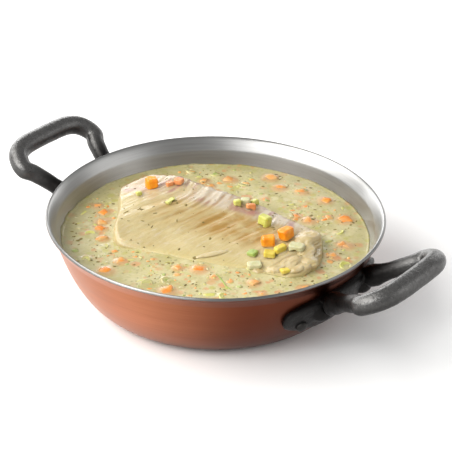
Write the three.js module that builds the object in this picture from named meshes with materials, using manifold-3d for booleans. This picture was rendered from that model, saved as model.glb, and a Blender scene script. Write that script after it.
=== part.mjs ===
// A two-handled copper pan, lined with steel, that holds a cod fillet in cream sauce with
// diced carrot and leek.
// Units are millimetres and +Z is up. The origin is the middle of the pan's base, on the table,
// and +X runs along the two handles. The food is laid out in a serving frame of its own, turned
// about the pan's axis: there the fillet's thick end is to the left, at -X, and its front is at -Y.

import * as THREE from 'three';
import { mergeVertices } from 'three/addons/utils/BufferGeometryUtils.js';
import Module from 'manifold-3d';

const wasm = await Module();
wasm.setup();

// ------------------------------------------------------------------ driving dimensions

const gap = 0.3; // clearance kept between pieces that touch

// The pan: one bonded sheet, spun into a splayed dish with a flared lip.
const pan = {
  rimRadius: 100,
  height: 52.2,
  sheet: 2,
  baseRadius: 65,
  baseCurve: 19.6, // how far the base's flat direction carries into the wall's curve
  wallCurve: 2.1,
  wallSlope: radians(61),
  lipRootRadius: 95.7,
  lipRootDrop: 7.7, // from the rim down to where the lip begins
  lipSlope: radians(30),
  lipEdgeDrop: 1.73, // from the rim down to the lower edge of the cut sheet
  edgeBulge: 0.3,
  turns: 64,
  wallSteps: 8,
  lipSteps: 3,
};

// The handles: each one iron casting, a raised bow on a leaf-shaped plate held by two rivets.
const bow = {
  rootRadius: 101.15, // from the pan's axis to where the bow's straight run starts
  rootHeight: 37.64,
  rise: radians(29.5),
  reach: 40.3,
  rootHalfWidth: 20.2,
  middleHalfWidth: 27.6,
  endHalfWidth: 31.9,
  cornerRadius: 13.2,
  outwardBow: 1.5,
  rootSection: [4.6, 4.4], // half width and half thickness
  endSection: [6.2, 6.2],
  buried: 6, // length of each arm that runs into the plate
  flare: 2.0, // extra half width where an arm meets the plate
  flareLength: 10,
  steps: 32,
  sides: 10,
};

// The thick foot under each arm, where it runs down into the plate.
const foot = {
  angle: radians(12.3),
  height: 29.8,
  lift: 2.6,
  halfSize: [6.4, 7.4, 6.2], // off the wall, along it and up it
  turns: 10,
  bands: 6,
};

const plate = {
  halfAngle: radians(27.6), // around the wall
  halfHeight: 11.8,
  middleHeight: 27.9,
  thickness: 4.4,
  edgeThickness: 2.4,
  roundness: 2.6, // exponent of the leaf's outline: 2 is an ellipse
  backShare: 0.5, // size of the inner ring on its hidden back
  domeShares: [1, 0.95, 0.8, 0.45], // sizes of the rings over its face
  turns: 32,
};

const rivet = {
  angle: radians(20.5), // to each side of the handle's middle
  height: 24.2,
  headRadius: 3.6,
  headRise: 2.5,
  seat: 4.0, // from the wall to the underside of the head
  shankRadius: 2.2,
  recess: 0.15, // how far the inner end stays inside the steel
  sides: 12,
  domeSteps: 3,
};

// The food, in the serving frame.
const serving = {
  turn: radians(37.4), // from the handles' line to the serving frame's +X
  sauceLevel: 36,
  meniscus: 0.5,
  meniscusWidth: 1.6,
};

// The fillet: its axis and its flakes run at fixed angles to the serving frame's +X.
const fillet = {
  axis: radians(-20),
  flakes: radians(40),
  flakePitch: 9.6,
  flakeStep: 1.0, // height of the relief at a flake's edge
  tailStep: 1.9, // the same at the tail, where the flakes have come apart
  tail: [30, 60], // flake positions from which, and past which, the tail's relief holds
  flakeSeed: 7,
  stepSpread: 0.5, // how far the relief's strength varies from flake to flake
  pitchSpread: 0.25, // how far a flake's edge strays, as a share of the pitch
  flakeBend: 6, // how far a flake's edge bows towards the tail
  bendPower: 1.4, // over 1 moves the bow towards the back
  fullWidth: 75, // a flake this long bows fully
  smoothFront: [0.08, 0.42], // places between which the relief grows
  smoothBack: 0.93, // place past which it fades
  endMargin: 1.2, // from the tip of either end to the nearest section
  undercut: 0.86, // size of the underside against the waterline
  middleWaist: 0.96,
  nearestEdge: 30, // from the frame's middle to the nearest waterline
};

// Corners of the fillet at the sauce's level, round from the front left.
const filletShore = [
  [-58.5, -15], [-38, -22.5], [-8, -33], [20, -42], [41, -49.5], [54.5, -44], [62, -28.5],
  [63, -12], [62, -2], [56, 5.5], [47, 13], [38, 21], [28, 29.5], [17, 35], [5, 40], [-6, 44.5],
  [-19, 52], [-32, 57.5], [-46.5, 57.5], [-56, 49], [-59.5, 34], [-58.5, 13],
];

// Along the fillet, by flake position: the crest's height over the sauce, the crest's place
// between front (0) and back (1), and how much of that height stands at the front edge.
const crestHeight = [[-86, 6], [-78, 12], [-62, 14.5], [-36, 14], [-18, 12.4], [-6, 10.2],
  [8, 9.4], [34, 8], [62, 6.4], [78, 4.8], [86, 2.4]];
const crestPlace = [[-86, 0.6], [-60, 0.82], [-20, 0.8], [0, 0.72], [40, 0.66], [86, 0.5]];
const frontStand = [[-86, 0.75], [-40, 0.66], [-28, 0.3], [-14, 0.12], [50, 0.12], [86, 0.4]];

// Places between front and back of the fillet's points: over its top, under it and at its sides.
const filletTop = [0.965, 0.9, 0.81, 0.7, 0.58, 0.46, 0.34, 0.23, 0.12, 0.03];
const filletUnder = [0.1, 0.5, 0.9];
const filletSide = 0.01;
const flakeStations = [[0, -0.9], [0.3, 0.1], [0.86, 0.75]]; // place in the flake, relief

// Diced vegetables that lie in the sauce, hand-placed: [x, y, length]. Each is turned by a
// steady step more than the one before.
const sauceCarrots = [
  [-72, 32, 5.5], [-68, 24, 6], [-68, 12.5, 6.5], [-68, 4, 6], [-66, -8, 5.5], [-62, -45, 7.5],
  [-26, -66, 8], [67, 45, 7], [78, 21, 8], [56, 19, 7], [48, 24, 5], [8, 70, 7], [-4, 61, 5],
  [-8, 68, 5], [34, 74, 8], [39, 60.5, 7], [68, -23, 6], [-54, -34, 6], [-21, -40, 5],
  [-8.6, -41, 7.5], [22.5, -55, 6], [51, -60, 6], [53, 56, 6.5],
];
const sauceLeeks = [
  [-74, -2.5, 6.5], [75, -34, 7.5], [6, -71, 8], [-17, 80, 7], [-1, 76, 7], [74, 5, 6],
  [-64, -17, 5], [-74, -32, 6], [-38, -58, 7], [-27, -54, 6.5], [-14, -76, 7], [16, 63, 6],
];
const strewnPieces = {
  count: 10,
  seed: 41,
  inner: 40,
  outer: 82,
  smallest: 3.6,
  largest: 6.4,
  apart: 9, // from any piece that is placed by hand
  showing: 0.54,
  tilt: radians(9),
};
const sunken = {
  turnStep: radians(47),
  squat: 0.86, // width of a die against its length
  dieShowing: 0.9,
  dieTilt: radians(7),
  roundShowing: 0.63,
  roundSlant: radians(16),
  roundSides: 8,
};

// Pieces that lie on the fillet, hand-placed: [name, kind, x, y, length, width, rise, turn].
const toppings = [
  ['carrot_cube_1', 'carrot', -39.2, 33.6, 7.2, 6.6, 5.2, 15],
  ['carrot_bit_1', 'carrot', -28.6, 34.6, 4.4, 4, 2.2, 30],
  ['carrot_bit_2', 'carrot', -23.6, 36.6, 5.4, 4.2, 3, -25],
  ['leek_bit_1', 'leek', 12.2, 16.8, 4.2, 3.4, 3.2, 20],
  ['onion_bit_1', 'onion', 17.6, 20, 5.2, 4.4, 2.6, -10],
  ['leek_bit_2', 'leek', 23.4, 22.4, 4.8, 3.8, 3, 50],
  ['carrot_bit_3', 'carrot', 20.8, 13.4, 5.4, 4.2, 2.8, 10],
  ['leek_cube_1', 'leek', 27.9, -2.6, 7, 5.6, 5.2, -38],
  ['carrot_cube_2', 'carrot', 30.4, -21.8, 7.6, 5.8, 4.4, 8],
  ['carrot_cube_3', 'carrot', 41.4, -15.6, 9.4, 6, 4.6, 55],
  ['leek_slice_1', 'leek', 30.9, -32.2, 6.8, 5.4, 2.2, -10],
  ['leek_slice_2', 'leek', 37.8, -28.4, 7.8, 4.4, 2.2, 40],
  ['onion_slice_1', 'onion', 46.8, -27.6, 8.4, 6, 2, -20],
  ['leek_leaf_1', 'leaf', 21.8, -29.4, 5.8, 5.2, 1.2, 60],
  ['leek_bit_3', 'leek', -46, 24.6, 3.6, 3.4, 1.4, 35],
  ['leek_shred_1', 'leek', -27.4, 15.6, 9, 3, 0.7, 62],
  ['onion_slice_2', 'onion', 22.6, -39.6, 8, 6, 1.4, 5],
  ['leek_slice_3', 'leek', 40.4, -46.4, 5.6, 4.6, 1.2, 25],
];
const resting = {
  sunk: 1.2, // how far a piece's underside reaches into the flesh before it is cut to it
  cornerCut: 0.72, // where an outline's cut corner begins, as a share of its half width
  shoulder: 0.86, // height at which the sides turn in, as a share of the whole
  taper: 0.86, // size of the top against the foot
};
const kinds = {
  carrot: { color: 0xe8892b, tilt: radians(6) },
  leek: { color: 0xc6cf55, tilt: radians(5) },
  onion: { color: 0xe4e2bd, tilt: radians(3) },
  leaf: { color: 0x9fb94e, tilt: radians(8) },
};

// ------------------------------------------------------------------------- materials

const finishes = {
  copper: new THREE.MeshStandardMaterial({ color: 0xc07a58, roughness: 0.32, metalness: 1 }),
  iron: new THREE.MeshStandardMaterial({ color: 0x3a3a39, roughness: 0.7, metalness: 0.6 }),
  sauce: new THREE.MeshStandardMaterial({ color: 0xd8cf9c, roughness: 0.35, metalness: 0 }),
  fish: new THREE.MeshStandardMaterial({ color: 0xe6d6ab, roughness: 0.5, metalness: 0 }),
};

// --------------------------------------------------------------------------- helpers

function radians(degrees) {
  return (degrees * Math.PI) / 180;
}

/** Straight-line reading of a table of [place, value] pairs. */
function read(table, place) {
  if (place <= table[0][0]) return table[0][1];
  for (let i = 1; i < table.length; i++) {
    const [from, low] = table[i - 1];
    const [to, high] = table[i];
    if (place <= to) return low + ((high - low) * (place - from)) / (to - from);
  }
  return table[table.length - 1][1];
}

/** Repeatable draws between 0 and 1, by the minimal standard generator. */
function draws(seed) {
  const multiplier = 16807;
  const modulus = 2147483647;
  let state = seed;
  return () => {
    state = (state * multiplier) % modulus;
    return state / modulus;
  };
}

/** A solid for cutting and joining, from any closed geometry. */
function solidOf(geometry) {
  const bare = new THREE.BufferGeometry();
  bare.setAttribute('position', geometry.getAttribute('position'));
  if (geometry.index) bare.setIndex(geometry.index);
  const merged = mergeVertices(bare, 1e-3);
  const corners = [];
  const index = merged.index.array;
  for (let i = 0; i < index.length; i += 3) {
    const [a, b, c] = [index[i], index[i + 1], index[i + 2]];
    if (a !== b && b !== c && c !== a) corners.push([a, b, c]);
  }
  const points = merged.getAttribute('position').array;
  const triangles = volumeOf(points, corners) < 0 ? corners.map(([a, b, c]) => [a, c, b]) : corners;
  return new wasm.Manifold(new wasm.Mesh({
    numProp: 3,
    vertProperties: new Float32Array(points),
    triVerts: new Uint32Array(triangles.flat()),
  }));
}

/** Signed volume inside triangles over an array of coordinates. */
function volumeOf(points, triangles) {
  const corner = (i) => new THREE.Vector3(points[3 * i], points[3 * i + 1], points[3 * i + 2]);
  let volume = 0;
  for (const [a, b, c] of triangles) volume += corner(a).dot(corner(b).cross(corner(c))) / 6;
  return volume;
}

/** The drawable geometry of a solid. */
function geometryOf(solid) {
  const mesh = solid.getMesh();
  const geometry = new THREE.BufferGeometry();
  geometry.setAttribute('position', new THREE.BufferAttribute(mesh.vertProperties, 3));
  geometry.setIndex(new THREE.BufferAttribute(mesh.triVerts, 1));
  return geometry;
}

/** One named piece of the scene. */
function piece(name, solid, material) {
  const mesh = new THREE.Mesh(geometryOf(solid), material);
  mesh.name = name;
  return mesh;
}

/** A closed skin over rings of equally many points, with a fan over each end. */
function skin(rings) {
  const sides = rings[0].length;
  const points = rings.flat();
  const triangles = [];
  for (let r = 0; r + 1 < rings.length; r++) {
    for (let i = 0; i < sides; i++) {
      const a = r * sides + i;
      const b = r * sides + ((i + 1) % sides);
      triangles.push(a, b, b + sides, a, b + sides, a + sides);
    }
  }
  for (const [ring, start, flip] of [[rings[0], 0, true],
    [rings[rings.length - 1], (rings.length - 1) * sides, false]]) {
    const middle = ring.reduce((sum, p) => sum.add(p), new THREE.Vector3());
    points.push(middle.divideScalar(sides));
    for (let i = 0; i < sides; i++) {
      const a = start + i;
      const b = start + ((i + 1) % sides);
      triangles.push(...(flip ? [b, a, points.length - 1] : [a, b, points.length - 1]));
    }
  }
  const geometry = new THREE.BufferGeometry().setFromPoints(points);
  geometry.setIndex(triangles);
  return geometry;
}

/** A solid of revolution about +Z, from points of radius and height. */
function revolve(points, turns) {
  return solidOf(new THREE.LatheGeometry(points, turns).rotateX(Math.PI / 2));
}

// ------------------------------------------------------------------------------- pan

const wallFoot = new THREE.Vector2(pan.baseRadius, 0);
const wallHead = new THREE.Vector2(pan.lipRootRadius, pan.height - pan.lipRootDrop);
const wallLine = new THREE.CubicBezierCurve(
  wallFoot,
  wallFoot.clone().add(new THREE.Vector2(pan.baseCurve, 0)),
  wallHead.clone().sub(direction(pan.wallSlope).multiplyScalar(pan.wallCurve)),
  wallHead,
);
const lipEnd = new THREE.Vector2(pan.rimRadius - pan.edgeBulge, pan.height - pan.lipEdgeDrop);
const lipLine = new THREE.QuadraticBezierCurve(wallHead, lipBend(), lipEnd);

/** Unit vector at an angle above the horizontal. */
function direction(angle) {
  return new THREE.Vector2(Math.cos(angle), Math.sin(angle));
}

/** Where the wall's line and the lip's line cross. */
function lipBend() {
  const wall = direction(pan.wallSlope);
  const lip = direction(pan.lipSlope);
  const span = lipEnd.clone().sub(wallHead);
  const along = span.cross(lip) / wall.cross(lip);
  return wallHead.clone().add(wall.multiplyScalar(along));
}

/** Points along a line of the outer profile, moved towards the inside. */
function inset(line, steps, distance) {
  return Array.from({ length: steps + 1 }, (_, i) => {
    const tangent = line.getTangent(i / steps);
    return line.getPoint(i / steps).add(new THREE.Vector2(-tangent.y, tangent.x)
      .multiplyScalar(distance));
  });
}

/** The outer wall at a height: its radius and its outward normal, as radius and height. */
function outerWall(height) {
  const steps = 240;
  for (let i = 1; i <= steps; i++) {
    const point = wallLine.getPoint(i / steps);
    if (point.y >= height || i === steps) {
      const tangent = wallLine.getTangent(i / steps);
      return { radius: point.x, normal: new THREE.Vector2(tangent.y, -tangent.x) };
    }
  }
  return null;
}

/** A point on the pan's outer wall, lifted off it along its normal. */
function onWall(angle, height, lift) {
  const { radius, normal } = outerWall(height);
  const out = radius + lift * normal.x;
  return new THREE.Vector3(out * Math.cos(angle), out * Math.sin(angle), height + lift * normal.y);
}

function panSolid() {
  const edge = lipEnd.clone().add(inset(lipLine, 1, pan.sheet)[1]).multiplyScalar(0.5)
    .add(direction(pan.lipSlope).multiplyScalar(pan.edgeBulge));
  const profile = [
    new THREE.Vector2(0, 0),
    ...inset(wallLine, pan.wallSteps, 0),
    ...inset(lipLine, pan.lipSteps, 0).slice(1),
    edge,
    ...inset(lipLine, pan.lipSteps, pan.sheet).reverse(),
    ...inset(wallLine, pan.wallSteps, pan.sheet).reverse().slice(1),
    new THREE.Vector2(0, pan.sheet),
  ];
  return revolve(profile, pan.turns);
}

/** Everything within the pan's outer surface, grown by the clearance. */
function panEnvelope() {
  const profile = [
    new THREE.Vector2(0, -gap),
    ...inset(wallLine, pan.wallSteps, -gap),
    ...inset(lipLine, pan.lipSteps, -gap).slice(1),
    new THREE.Vector2(pan.rimRadius + gap, pan.height + gap),
    new THREE.Vector2(0, pan.height + gap),
  ];
  return revolve(profile, pan.turns);
}

// --------------------------------------------------------------------------- handles

/** The bow's centre line in its own plane, as reach from the root and distance across. */
function bowLine() {
  const square = 1 - Math.SQRT1_2; // how far a rounded corner's middle stays off the corner
  const r = bow.cornerRadius;
  const half = [
    [-bow.buried, bow.rootHalfWidth],
    [0, bow.rootHalfWidth],
    [bow.reach / 2, bow.middleHalfWidth],
    [bow.reach - r, bow.endHalfWidth],
    [bow.reach - r * square, bow.endHalfWidth - r * square],
    [bow.reach + bow.outwardBow / 2, bow.endHalfWidth - r],
  ];
  const whole = [
    ...half.map(([along, across]) => [along, -across]),
    [bow.reach + bow.outwardBow, 0],
    ...half.slice().reverse(),
  ];
  return new THREE.CatmullRomCurve3(whole.map(([along, across]) => new THREE.Vector3(
    bow.rootRadius + along * Math.cos(bow.rise),
    across,
    bow.rootHeight + along * Math.sin(bow.rise),
  )), false, 'catmullrom', 0.5);
}

function bowSolid() {
  const line = bowLine();
  const up = new THREE.Vector3(-Math.sin(bow.rise), 0, Math.cos(bow.rise));
  const rings = [];
  for (let i = 0; i <= bow.steps; i++) {
    const middle = line.getPointAt(i / bow.steps);
    const side = up.clone().cross(line.getTangentAt(i / bow.steps)).normalize();
    const along = (middle.x - bow.rootRadius) / Math.cos(bow.rise);
    const share = THREE.MathUtils.clamp(along / bow.reach, 0, 1);
    const flare = bow.flare * THREE.MathUtils.clamp(1 - along / bow.flareLength, 0, 1) ** 2;
    const [width, thickness] = [0, 1].map((k) => flare * (1 - k / 2)
      + THREE.MathUtils.lerp(bow.rootSection[k], bow.endSection[k], share));
    rings.push(Array.from({ length: bow.sides }, (_, k) => {
      const turn = (2 * Math.PI * k) / bow.sides;
      return middle.clone()
        .addScaledVector(side, width * Math.cos(turn))
        .addScaledVector(up, thickness * Math.sin(turn));
    }));
  }
  return solidOf(skin(rings));
}

/** The leaf-shaped plate: a domed face over an outline, and a back inside the wall. */
function plateSolid() {
  const lift = (share) => plate.edgeThickness
    + (plate.thickness - plate.edgeThickness) * Math.sqrt(1 - share ** 4);
  const ring = (share, height) => Array.from({ length: plate.turns }, (_, k) => {
    const turn = (2 * Math.PI * k) / plate.turns;
    const power = 2 / plate.roundness;
    const across = Math.sign(Math.cos(turn)) * Math.abs(Math.cos(turn)) ** power;
    const up = Math.sign(Math.sin(turn)) * Math.abs(Math.sin(turn)) ** power;
    return onWall(
      plate.halfAngle * share * across,
      plate.middleHeight + plate.halfHeight * share * up,
      height,
    );
  });
  const inside = -pan.sheet / 2;
  const back = [ring(plate.backShare, inside), ring(1, inside)];
  return solidOf(skin([...back, ...plate.domeShares.map((share) => ring(share, lift(share)))]));
}

/** Sets a geometry on the wall: its X points off the wall, its Y along it and its Z up it. */
function setOnWall(geometry, angle, height) {
  const along = new THREE.Vector3(-Math.sin(angle), Math.cos(angle), 0);
  const off = onWall(angle, height, 1).sub(onWall(angle, height, 0));
  const place = new THREE.Matrix4().makeBasis(off, along, off.clone().cross(along));
  return solidOf(geometry.applyMatrix4(place.setPosition(onWall(angle, height, 0))));
}

/** The thick foot where an arm of the bow runs down into the plate. */
function footSolid(angle) {
  const round = new THREE.SphereGeometry(1, foot.turns, foot.bands).scale(...foot.halfSize);
  return setOnWall(round.translate(foot.lift, 0, 0), angle, foot.height);
}

/** A lathe-made solid with its axis off the wall, where a rivet goes. */
function onRivetAxis(points, angle) {
  const turned = new THREE.LatheGeometry(points, rivet.sides).rotateZ(-Math.PI / 2);
  return setOnWall(turned, angle, rivet.height);
}

function rivetSolid(angle) {
  const dome = Array.from({ length: rivet.domeSteps + 1 }, (_, i) => {
    const turn = (Math.PI / 2) * (i / rivet.domeSteps);
    return new THREE.Vector2(rivet.headRadius * Math.cos(turn),
      rivet.seat + rivet.headRise * Math.sin(turn));
  });
  dome[rivet.domeSteps].x = 0;
  const inner = rivet.recess - pan.sheet;
  return onRivetAxis([
    new THREE.Vector2(0, inner),
    new THREE.Vector2(rivet.shankRadius, inner),
    new THREE.Vector2(rivet.shankRadius, rivet.seat),
    ...dome,
  ], angle);
}

/** The room a rivet needs: a hole for its shank and a flat seat for its head. */
function rivetRoom(angle) {
  const hole = rivet.shankRadius + gap;
  const seat = rivet.headRadius + gap;
  const floor = rivet.seat - gap;
  const top = rivet.seat + 3 * rivet.headRise;
  return onRivetAxis([
    new THREE.Vector2(0, -2 * pan.sheet),
    new THREE.Vector2(hole, -2 * pan.sheet),
    new THREE.Vector2(hole, floor),
    new THREE.Vector2(seat, floor),
    new THREE.Vector2(seat, top),
    new THREE.Vector2(0, top),
  ], angle);
}

const rivetAngles = { lower: -rivet.angle, upper: rivet.angle };

function handleSolid() {
  let casting = bowSolid().add(plateSolid());
  for (const angle of [-foot.angle, foot.angle]) casting = casting.add(footSolid(angle));
  casting = casting.subtract(panEnvelope());
  for (const angle of Object.values(rivetAngles)) casting = casting.subtract(rivetRoom(angle));
  return casting;
}

// ---------------------------------------------------------------------------- fillet

const alongFillet = new THREE.Vector2(Math.cos(fillet.axis), Math.sin(fillet.axis));
const alongFlake = new THREE.Vector2(Math.cos(fillet.flakes), Math.sin(fillet.flakes));
const shore = new THREE.CatmullRomCurve3(
  filletShore.map(([x, y]) => new THREE.Vector3(x, y, 0)),
  true,
  'centripetal',
).getPoints(220).map((p) => {
  const point = new THREE.Vector2(p.x, p.y);
  const skew = alongFillet.cross(alongFlake);
  return { flake: point.cross(alongFlake) / skew, across: alongFillet.cross(point) / skew };
});

/** Where a line of one flake position meets the shore: its front and its back. */
function chord(flake) {
  const crossings = [];
  for (let i = 0; i + 1 < shore.length; i++) {
    const [a, b] = [shore[i], shore[i + 1]];
    if ((a.flake - flake) * (b.flake - flake) <= 0 && a.flake !== b.flake) {
      const share = (flake - a.flake) / (b.flake - a.flake);
      crossings.push(a.across + (b.across - a.across) * share);
    }
  }
  return [Math.min(...crossings), Math.max(...crossings)];
}

/** Height over the sauce at a place between front (0) and back (1). */
function filletRise(flake, place, relief) {
  const crest = read(crestHeight, flake);
  const summit = read(crestPlace, flake);
  const stand = read(frontStand, flake);
  const share = place < summit
    ? stand + (1 - stand) * Math.sin((Math.PI / 2) * (place / summit))
    : Math.sqrt(Math.max(0, 1 - ((place - summit) / (1 - summit)) ** 2));
  const fade = THREE.MathUtils.smoothstep(place, ...fillet.smoothFront)
    * (1 - THREE.MathUtils.smoothstep(place, fillet.smoothBack, 1));
  const step = THREE.MathUtils.lerp(fillet.flakeStep, fillet.tailStep,
    THREE.MathUtils.smoothstep(flake, ...fillet.tail));
  return crest * share + step * relief * fade;
}

/** The positions of the fillet's sections: three to each flake, and one near each end. */
function filletSections() {
  const draw = draws(fillet.flakeSeed);
  const first = Math.min(...shore.map((p) => p.flake)) + fillet.endMargin;
  const last = Math.max(...shore.map((p) => p.flake)) - fillet.endMargin;
  const count = Math.round((last - first) / fillet.flakePitch);
  const pitch = (last - first) / count;
  const sections = [];
  for (let k = 0; k < count; k++) {
    const strength = 1 + fillet.stepSpread * (draw() - 0.5);
    const shift = k ? fillet.pitchSpread * (draw() - 0.5) : 0;
    for (const [place, relief] of flakeStations) {
      const at = first + pitch * (k + place + shift * (1 - place));
      sections.push({ flake: at, relief: relief * strength });
    }
  }
  sections.push({ flake: last, relief: 0 });
  return sections;
}

/** The fillet, or with a clearance, the room that it takes in the sauce. */
function filletSolid(clearance, floor) {
  const level = serving.sauceLevel;
  const spread = 1 + clearance / fillet.nearestEdge;
  const rings = filletSections().map(({ flake, relief }) => {
    const [front, back] = chord(flake);
    const bend = fillet.flakeBend * Math.min(1, (back - front) / fillet.fullWidth);
    const at = (place, size, height) => {
      const across = front + (back - front) * place;
      const bow = size === 1 ? bend * Math.sin(Math.PI * place ** fillet.bendPower) : 0;
      const flat = alongFillet.clone().multiplyScalar(flake + bow)
        .addScaledVector(alongFlake, across).multiplyScalar(size * spread);
      return new THREE.Vector3(flat.x, flat.y, height);
    };
    const middle = (floor + level) / 2;
    return [
      ...filletUnder.map((place) => at(place, fillet.undercut, floor)),
      at(1 - filletSide, fillet.middleWaist, middle),
      at(1, 1, level),
      ...filletTop.map((place) => at(place, 1, level + clearance
        + filletRise(flake, place, relief))),
      at(0, 1, level),
      at(filletSide, fillet.middleWaist, middle),
    ];
  });
  return solidOf(skin(rings));
}

// ----------------------------------------------------------------------------- sauce

/** The pan's inside up to the sauce's level, a clearance off the steel. */
function sauceBody() {
  const steel = inset(wallLine, pan.wallSteps, pan.sheet + gap);
  const shore = serving.sauceLevel + serving.meniscus;
  const above = steel.findIndex((p) => p.y > shore);
  const [low, high] = [steel[above - 1], steel[above]];
  const edge = low.clone().lerp(high, (shore - low.y) / (high.y - low.y));
  return revolve([
    new THREE.Vector2(0, pan.sheet + gap),
    ...steel.slice(0, above),
    edge,
    new THREE.Vector2(edge.x - serving.meniscusWidth, serving.sauceLevel),
    new THREE.Vector2(0, serving.sauceLevel),
  ], pan.turns);
}

/** A plain die, sunk in the sauce with its top just out of it. */
function sunkDie(x, y, length, turn, showing, tilt) {
  const die = new THREE.BoxGeometry(length, length * sunken.squat, length);
  die.rotateX(tilt).rotateY(-tilt / 2).rotateZ(turn);
  die.translate(x, y, serving.sauceLevel + showing - length / 2);
  return solidOf(die);
}

/** A short cut of leek: a flat round, sunk at a slant. */
function sunkRound(x, y, length, turn) {
  const round = new THREE.CylinderGeometry(length / 2, length / 2, length / 2, sunken.roundSides);
  round.rotateX(Math.PI / 2 + sunken.roundSlant).rotateZ(turn);
  round.translate(x, y, serving.sauceLevel + sunken.roundShowing - length / 4);
  return solidOf(round);
}

/** Distance from a place to the fillet's waterline, or 0 on the fillet. */
function awayFromFillet(x, y) {
  const point = new THREE.Vector2(x, y);
  const skew = alongFillet.cross(alongFlake);
  const flake = point.cross(alongFlake) / skew;
  const across = alongFillet.cross(point) / skew;
  const [front, back] = chord(flake);
  if (Number.isFinite(front) && across > front && across < back) return 0;
  return Math.min(...shore.map((p) => alongFillet.clone().multiplyScalar(p.flake)
    .addScaledVector(alongFlake, p.across).distanceTo(point)));
}

/** The small dice that fill the places between those laid by hand: [x, y, length, turn]. */
function strewnPlaces() {
  const draw = draws(strewnPieces.seed);
  const { lerp } = THREE.MathUtils;
  const places = [];
  while (places.length < strewnPieces.count) {
    const radius = lerp(strewnPieces.inner, strewnPieces.outer, Math.sqrt(draw()));
    const angle = 2 * Math.PI * draw();
    const length = lerp(strewnPieces.smallest, strewnPieces.largest, draw());
    const turn = Math.PI * draw();
    const [x, y] = [radius * Math.cos(angle), radius * Math.sin(angle)];
    const free = [...sauceCarrots, ...sauceLeeks]
      .every(([a, b]) => Math.hypot(a - x, b - y) >= strewnPieces.apart);
    if (free && awayFromFillet(x, y) >= length) places.push([x, y, length, turn]);
  }
  return places;
}

function sauceSolid() {
  const { turnStep, dieShowing, dieTilt } = sunken;
  const pieces = [
    ...sauceCarrots.map(([x, y, length], i) => sunkDie(x, y, length, i * turnStep, dieShowing, dieTilt)),
    ...sauceLeeks.map(([x, y, length], i) => sunkRound(x, y, length, i * turnStep)),
    ...strewnPlaces().map((place) => sunkDie(...place, strewnPieces.showing, strewnPieces.tilt)),
  ];
  const filled = pieces.reduce((sauce, solid) => sauce.add(solid), sauceBody());
  return filled.subtract(filletSolid(gap, 0));
}

// -------------------------------------------------------------------------- toppings

/** A die with its upright corners off: eight sides around, and a slightly smaller top. */
function cutDie(length, width, height) {
  const { cornerCut: cut, shoulder, taper } = resting;
  const outline = [[1, cut], [cut, 1], [-cut, 1], [-1, cut], [-1, -cut], [-cut, -1], [cut, -1],
    [1, -cut]];
  const ring = (size, z) => outline.map(([x, y]) => new THREE.Vector3(
    (x * size * length) / 2,
    (y * size * width) / 2,
    z,
  ));
  return skin([ring(1, 0), ring(1, height * shoulder), ring(taper, height)]);
}

/** The height of the flesh around the middle of a piece that lies on it. */
function groundUnder(x, y, length, width, turn, fish) {
  const post = new THREE.BoxGeometry(length / 2, width / 2, 4 * pan.height);
  return fish.intersect(solidOf(post.rotateZ(turn).translate(x, y, 0))).boundingBox().max[2];
}

/** A piece that lies on the fillet, its underside cut to the flesh it rests on. */
function toppingSolid([, kind, x, y, length, width, rise, degrees], fish) {
  const turn = radians(degrees);
  const ground = groundUnder(x, y, length, width, turn, fish);
  const body = cutDie(length, width, rise + resting.sunk);
  body.rotateX(-kinds[kind].tilt).rotateZ(turn).translate(x, y, ground - resting.sunk);
  return solidOf(body).subtract(fish.translate([0, 0, gap]));
}

// ---------------------------------------------------------------------------- object

const object = new THREE.Group();

const handle = handleSolid();
for (const [side, turn] of [['right', 0], ['left', Math.PI]]) {
  const group = new THREE.Group();
  group.rotation.z = turn;
  group.add(piece(`handle_${side}`, handle, finishes.iron));
  for (const [place, angle] of Object.entries(rivetAngles)) {
    group.add(piece(`rivet_${side}_${place}`, rivetSolid(angle), finishes.iron));
  }
  object.add(group);
}

let body = panSolid();
for (const angle of Object.values(rivetAngles)) {
  body = body.subtract(rivetRoom(angle)).subtract(rivetRoom(angle + Math.PI));
}
object.add(piece('pan_body', body, finishes.copper));

const food = new THREE.Group();
food.rotation.z = serving.turn;
const fish = filletSolid(0, pan.sheet + gap);
food.add(piece('cod_fillet', fish, finishes.fish));
food.add(piece('cream_sauce', sauceSolid(), finishes.sauce));
for (const topping of toppings) {
  const { color } = kinds[topping[1]];
  const material = new THREE.MeshStandardMaterial({ color, roughness: 0.4, metalness: 0 });
  food.add(piece(topping[0], toppingSolid(topping, fish), material));
}
object.add(food);

export default object;
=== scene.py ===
"""The looks of a copper pan of cod fillet in cream sauce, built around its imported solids.

Sizes are in millimetres while a piece is modelled, and each finished piece is brought to metres.
"""

import itertools
import logging
import math
from contextlib import contextmanager
from dataclasses import dataclass, field
from enum import Enum
from typing import Any, Callable, Iterator, Sequence

import bpy
import numpy as np
from mathutils import Matrix, Vector
from mathutils.bvhtree import BVHTree


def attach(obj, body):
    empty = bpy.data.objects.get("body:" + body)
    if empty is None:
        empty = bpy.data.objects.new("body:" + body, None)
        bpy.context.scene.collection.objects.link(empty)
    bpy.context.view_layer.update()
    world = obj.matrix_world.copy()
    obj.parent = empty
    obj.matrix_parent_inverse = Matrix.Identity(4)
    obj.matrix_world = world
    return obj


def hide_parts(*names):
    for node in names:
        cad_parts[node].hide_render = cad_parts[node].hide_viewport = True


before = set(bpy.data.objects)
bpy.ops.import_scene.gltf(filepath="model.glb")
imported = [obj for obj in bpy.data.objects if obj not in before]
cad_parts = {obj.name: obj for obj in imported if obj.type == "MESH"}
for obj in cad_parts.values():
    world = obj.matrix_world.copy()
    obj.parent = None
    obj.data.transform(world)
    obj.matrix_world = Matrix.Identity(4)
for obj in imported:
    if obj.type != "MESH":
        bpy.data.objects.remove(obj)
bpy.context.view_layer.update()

MM = 0.001
SERVING_TURN = math.radians(37.4)
ROOT = "root"

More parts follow.
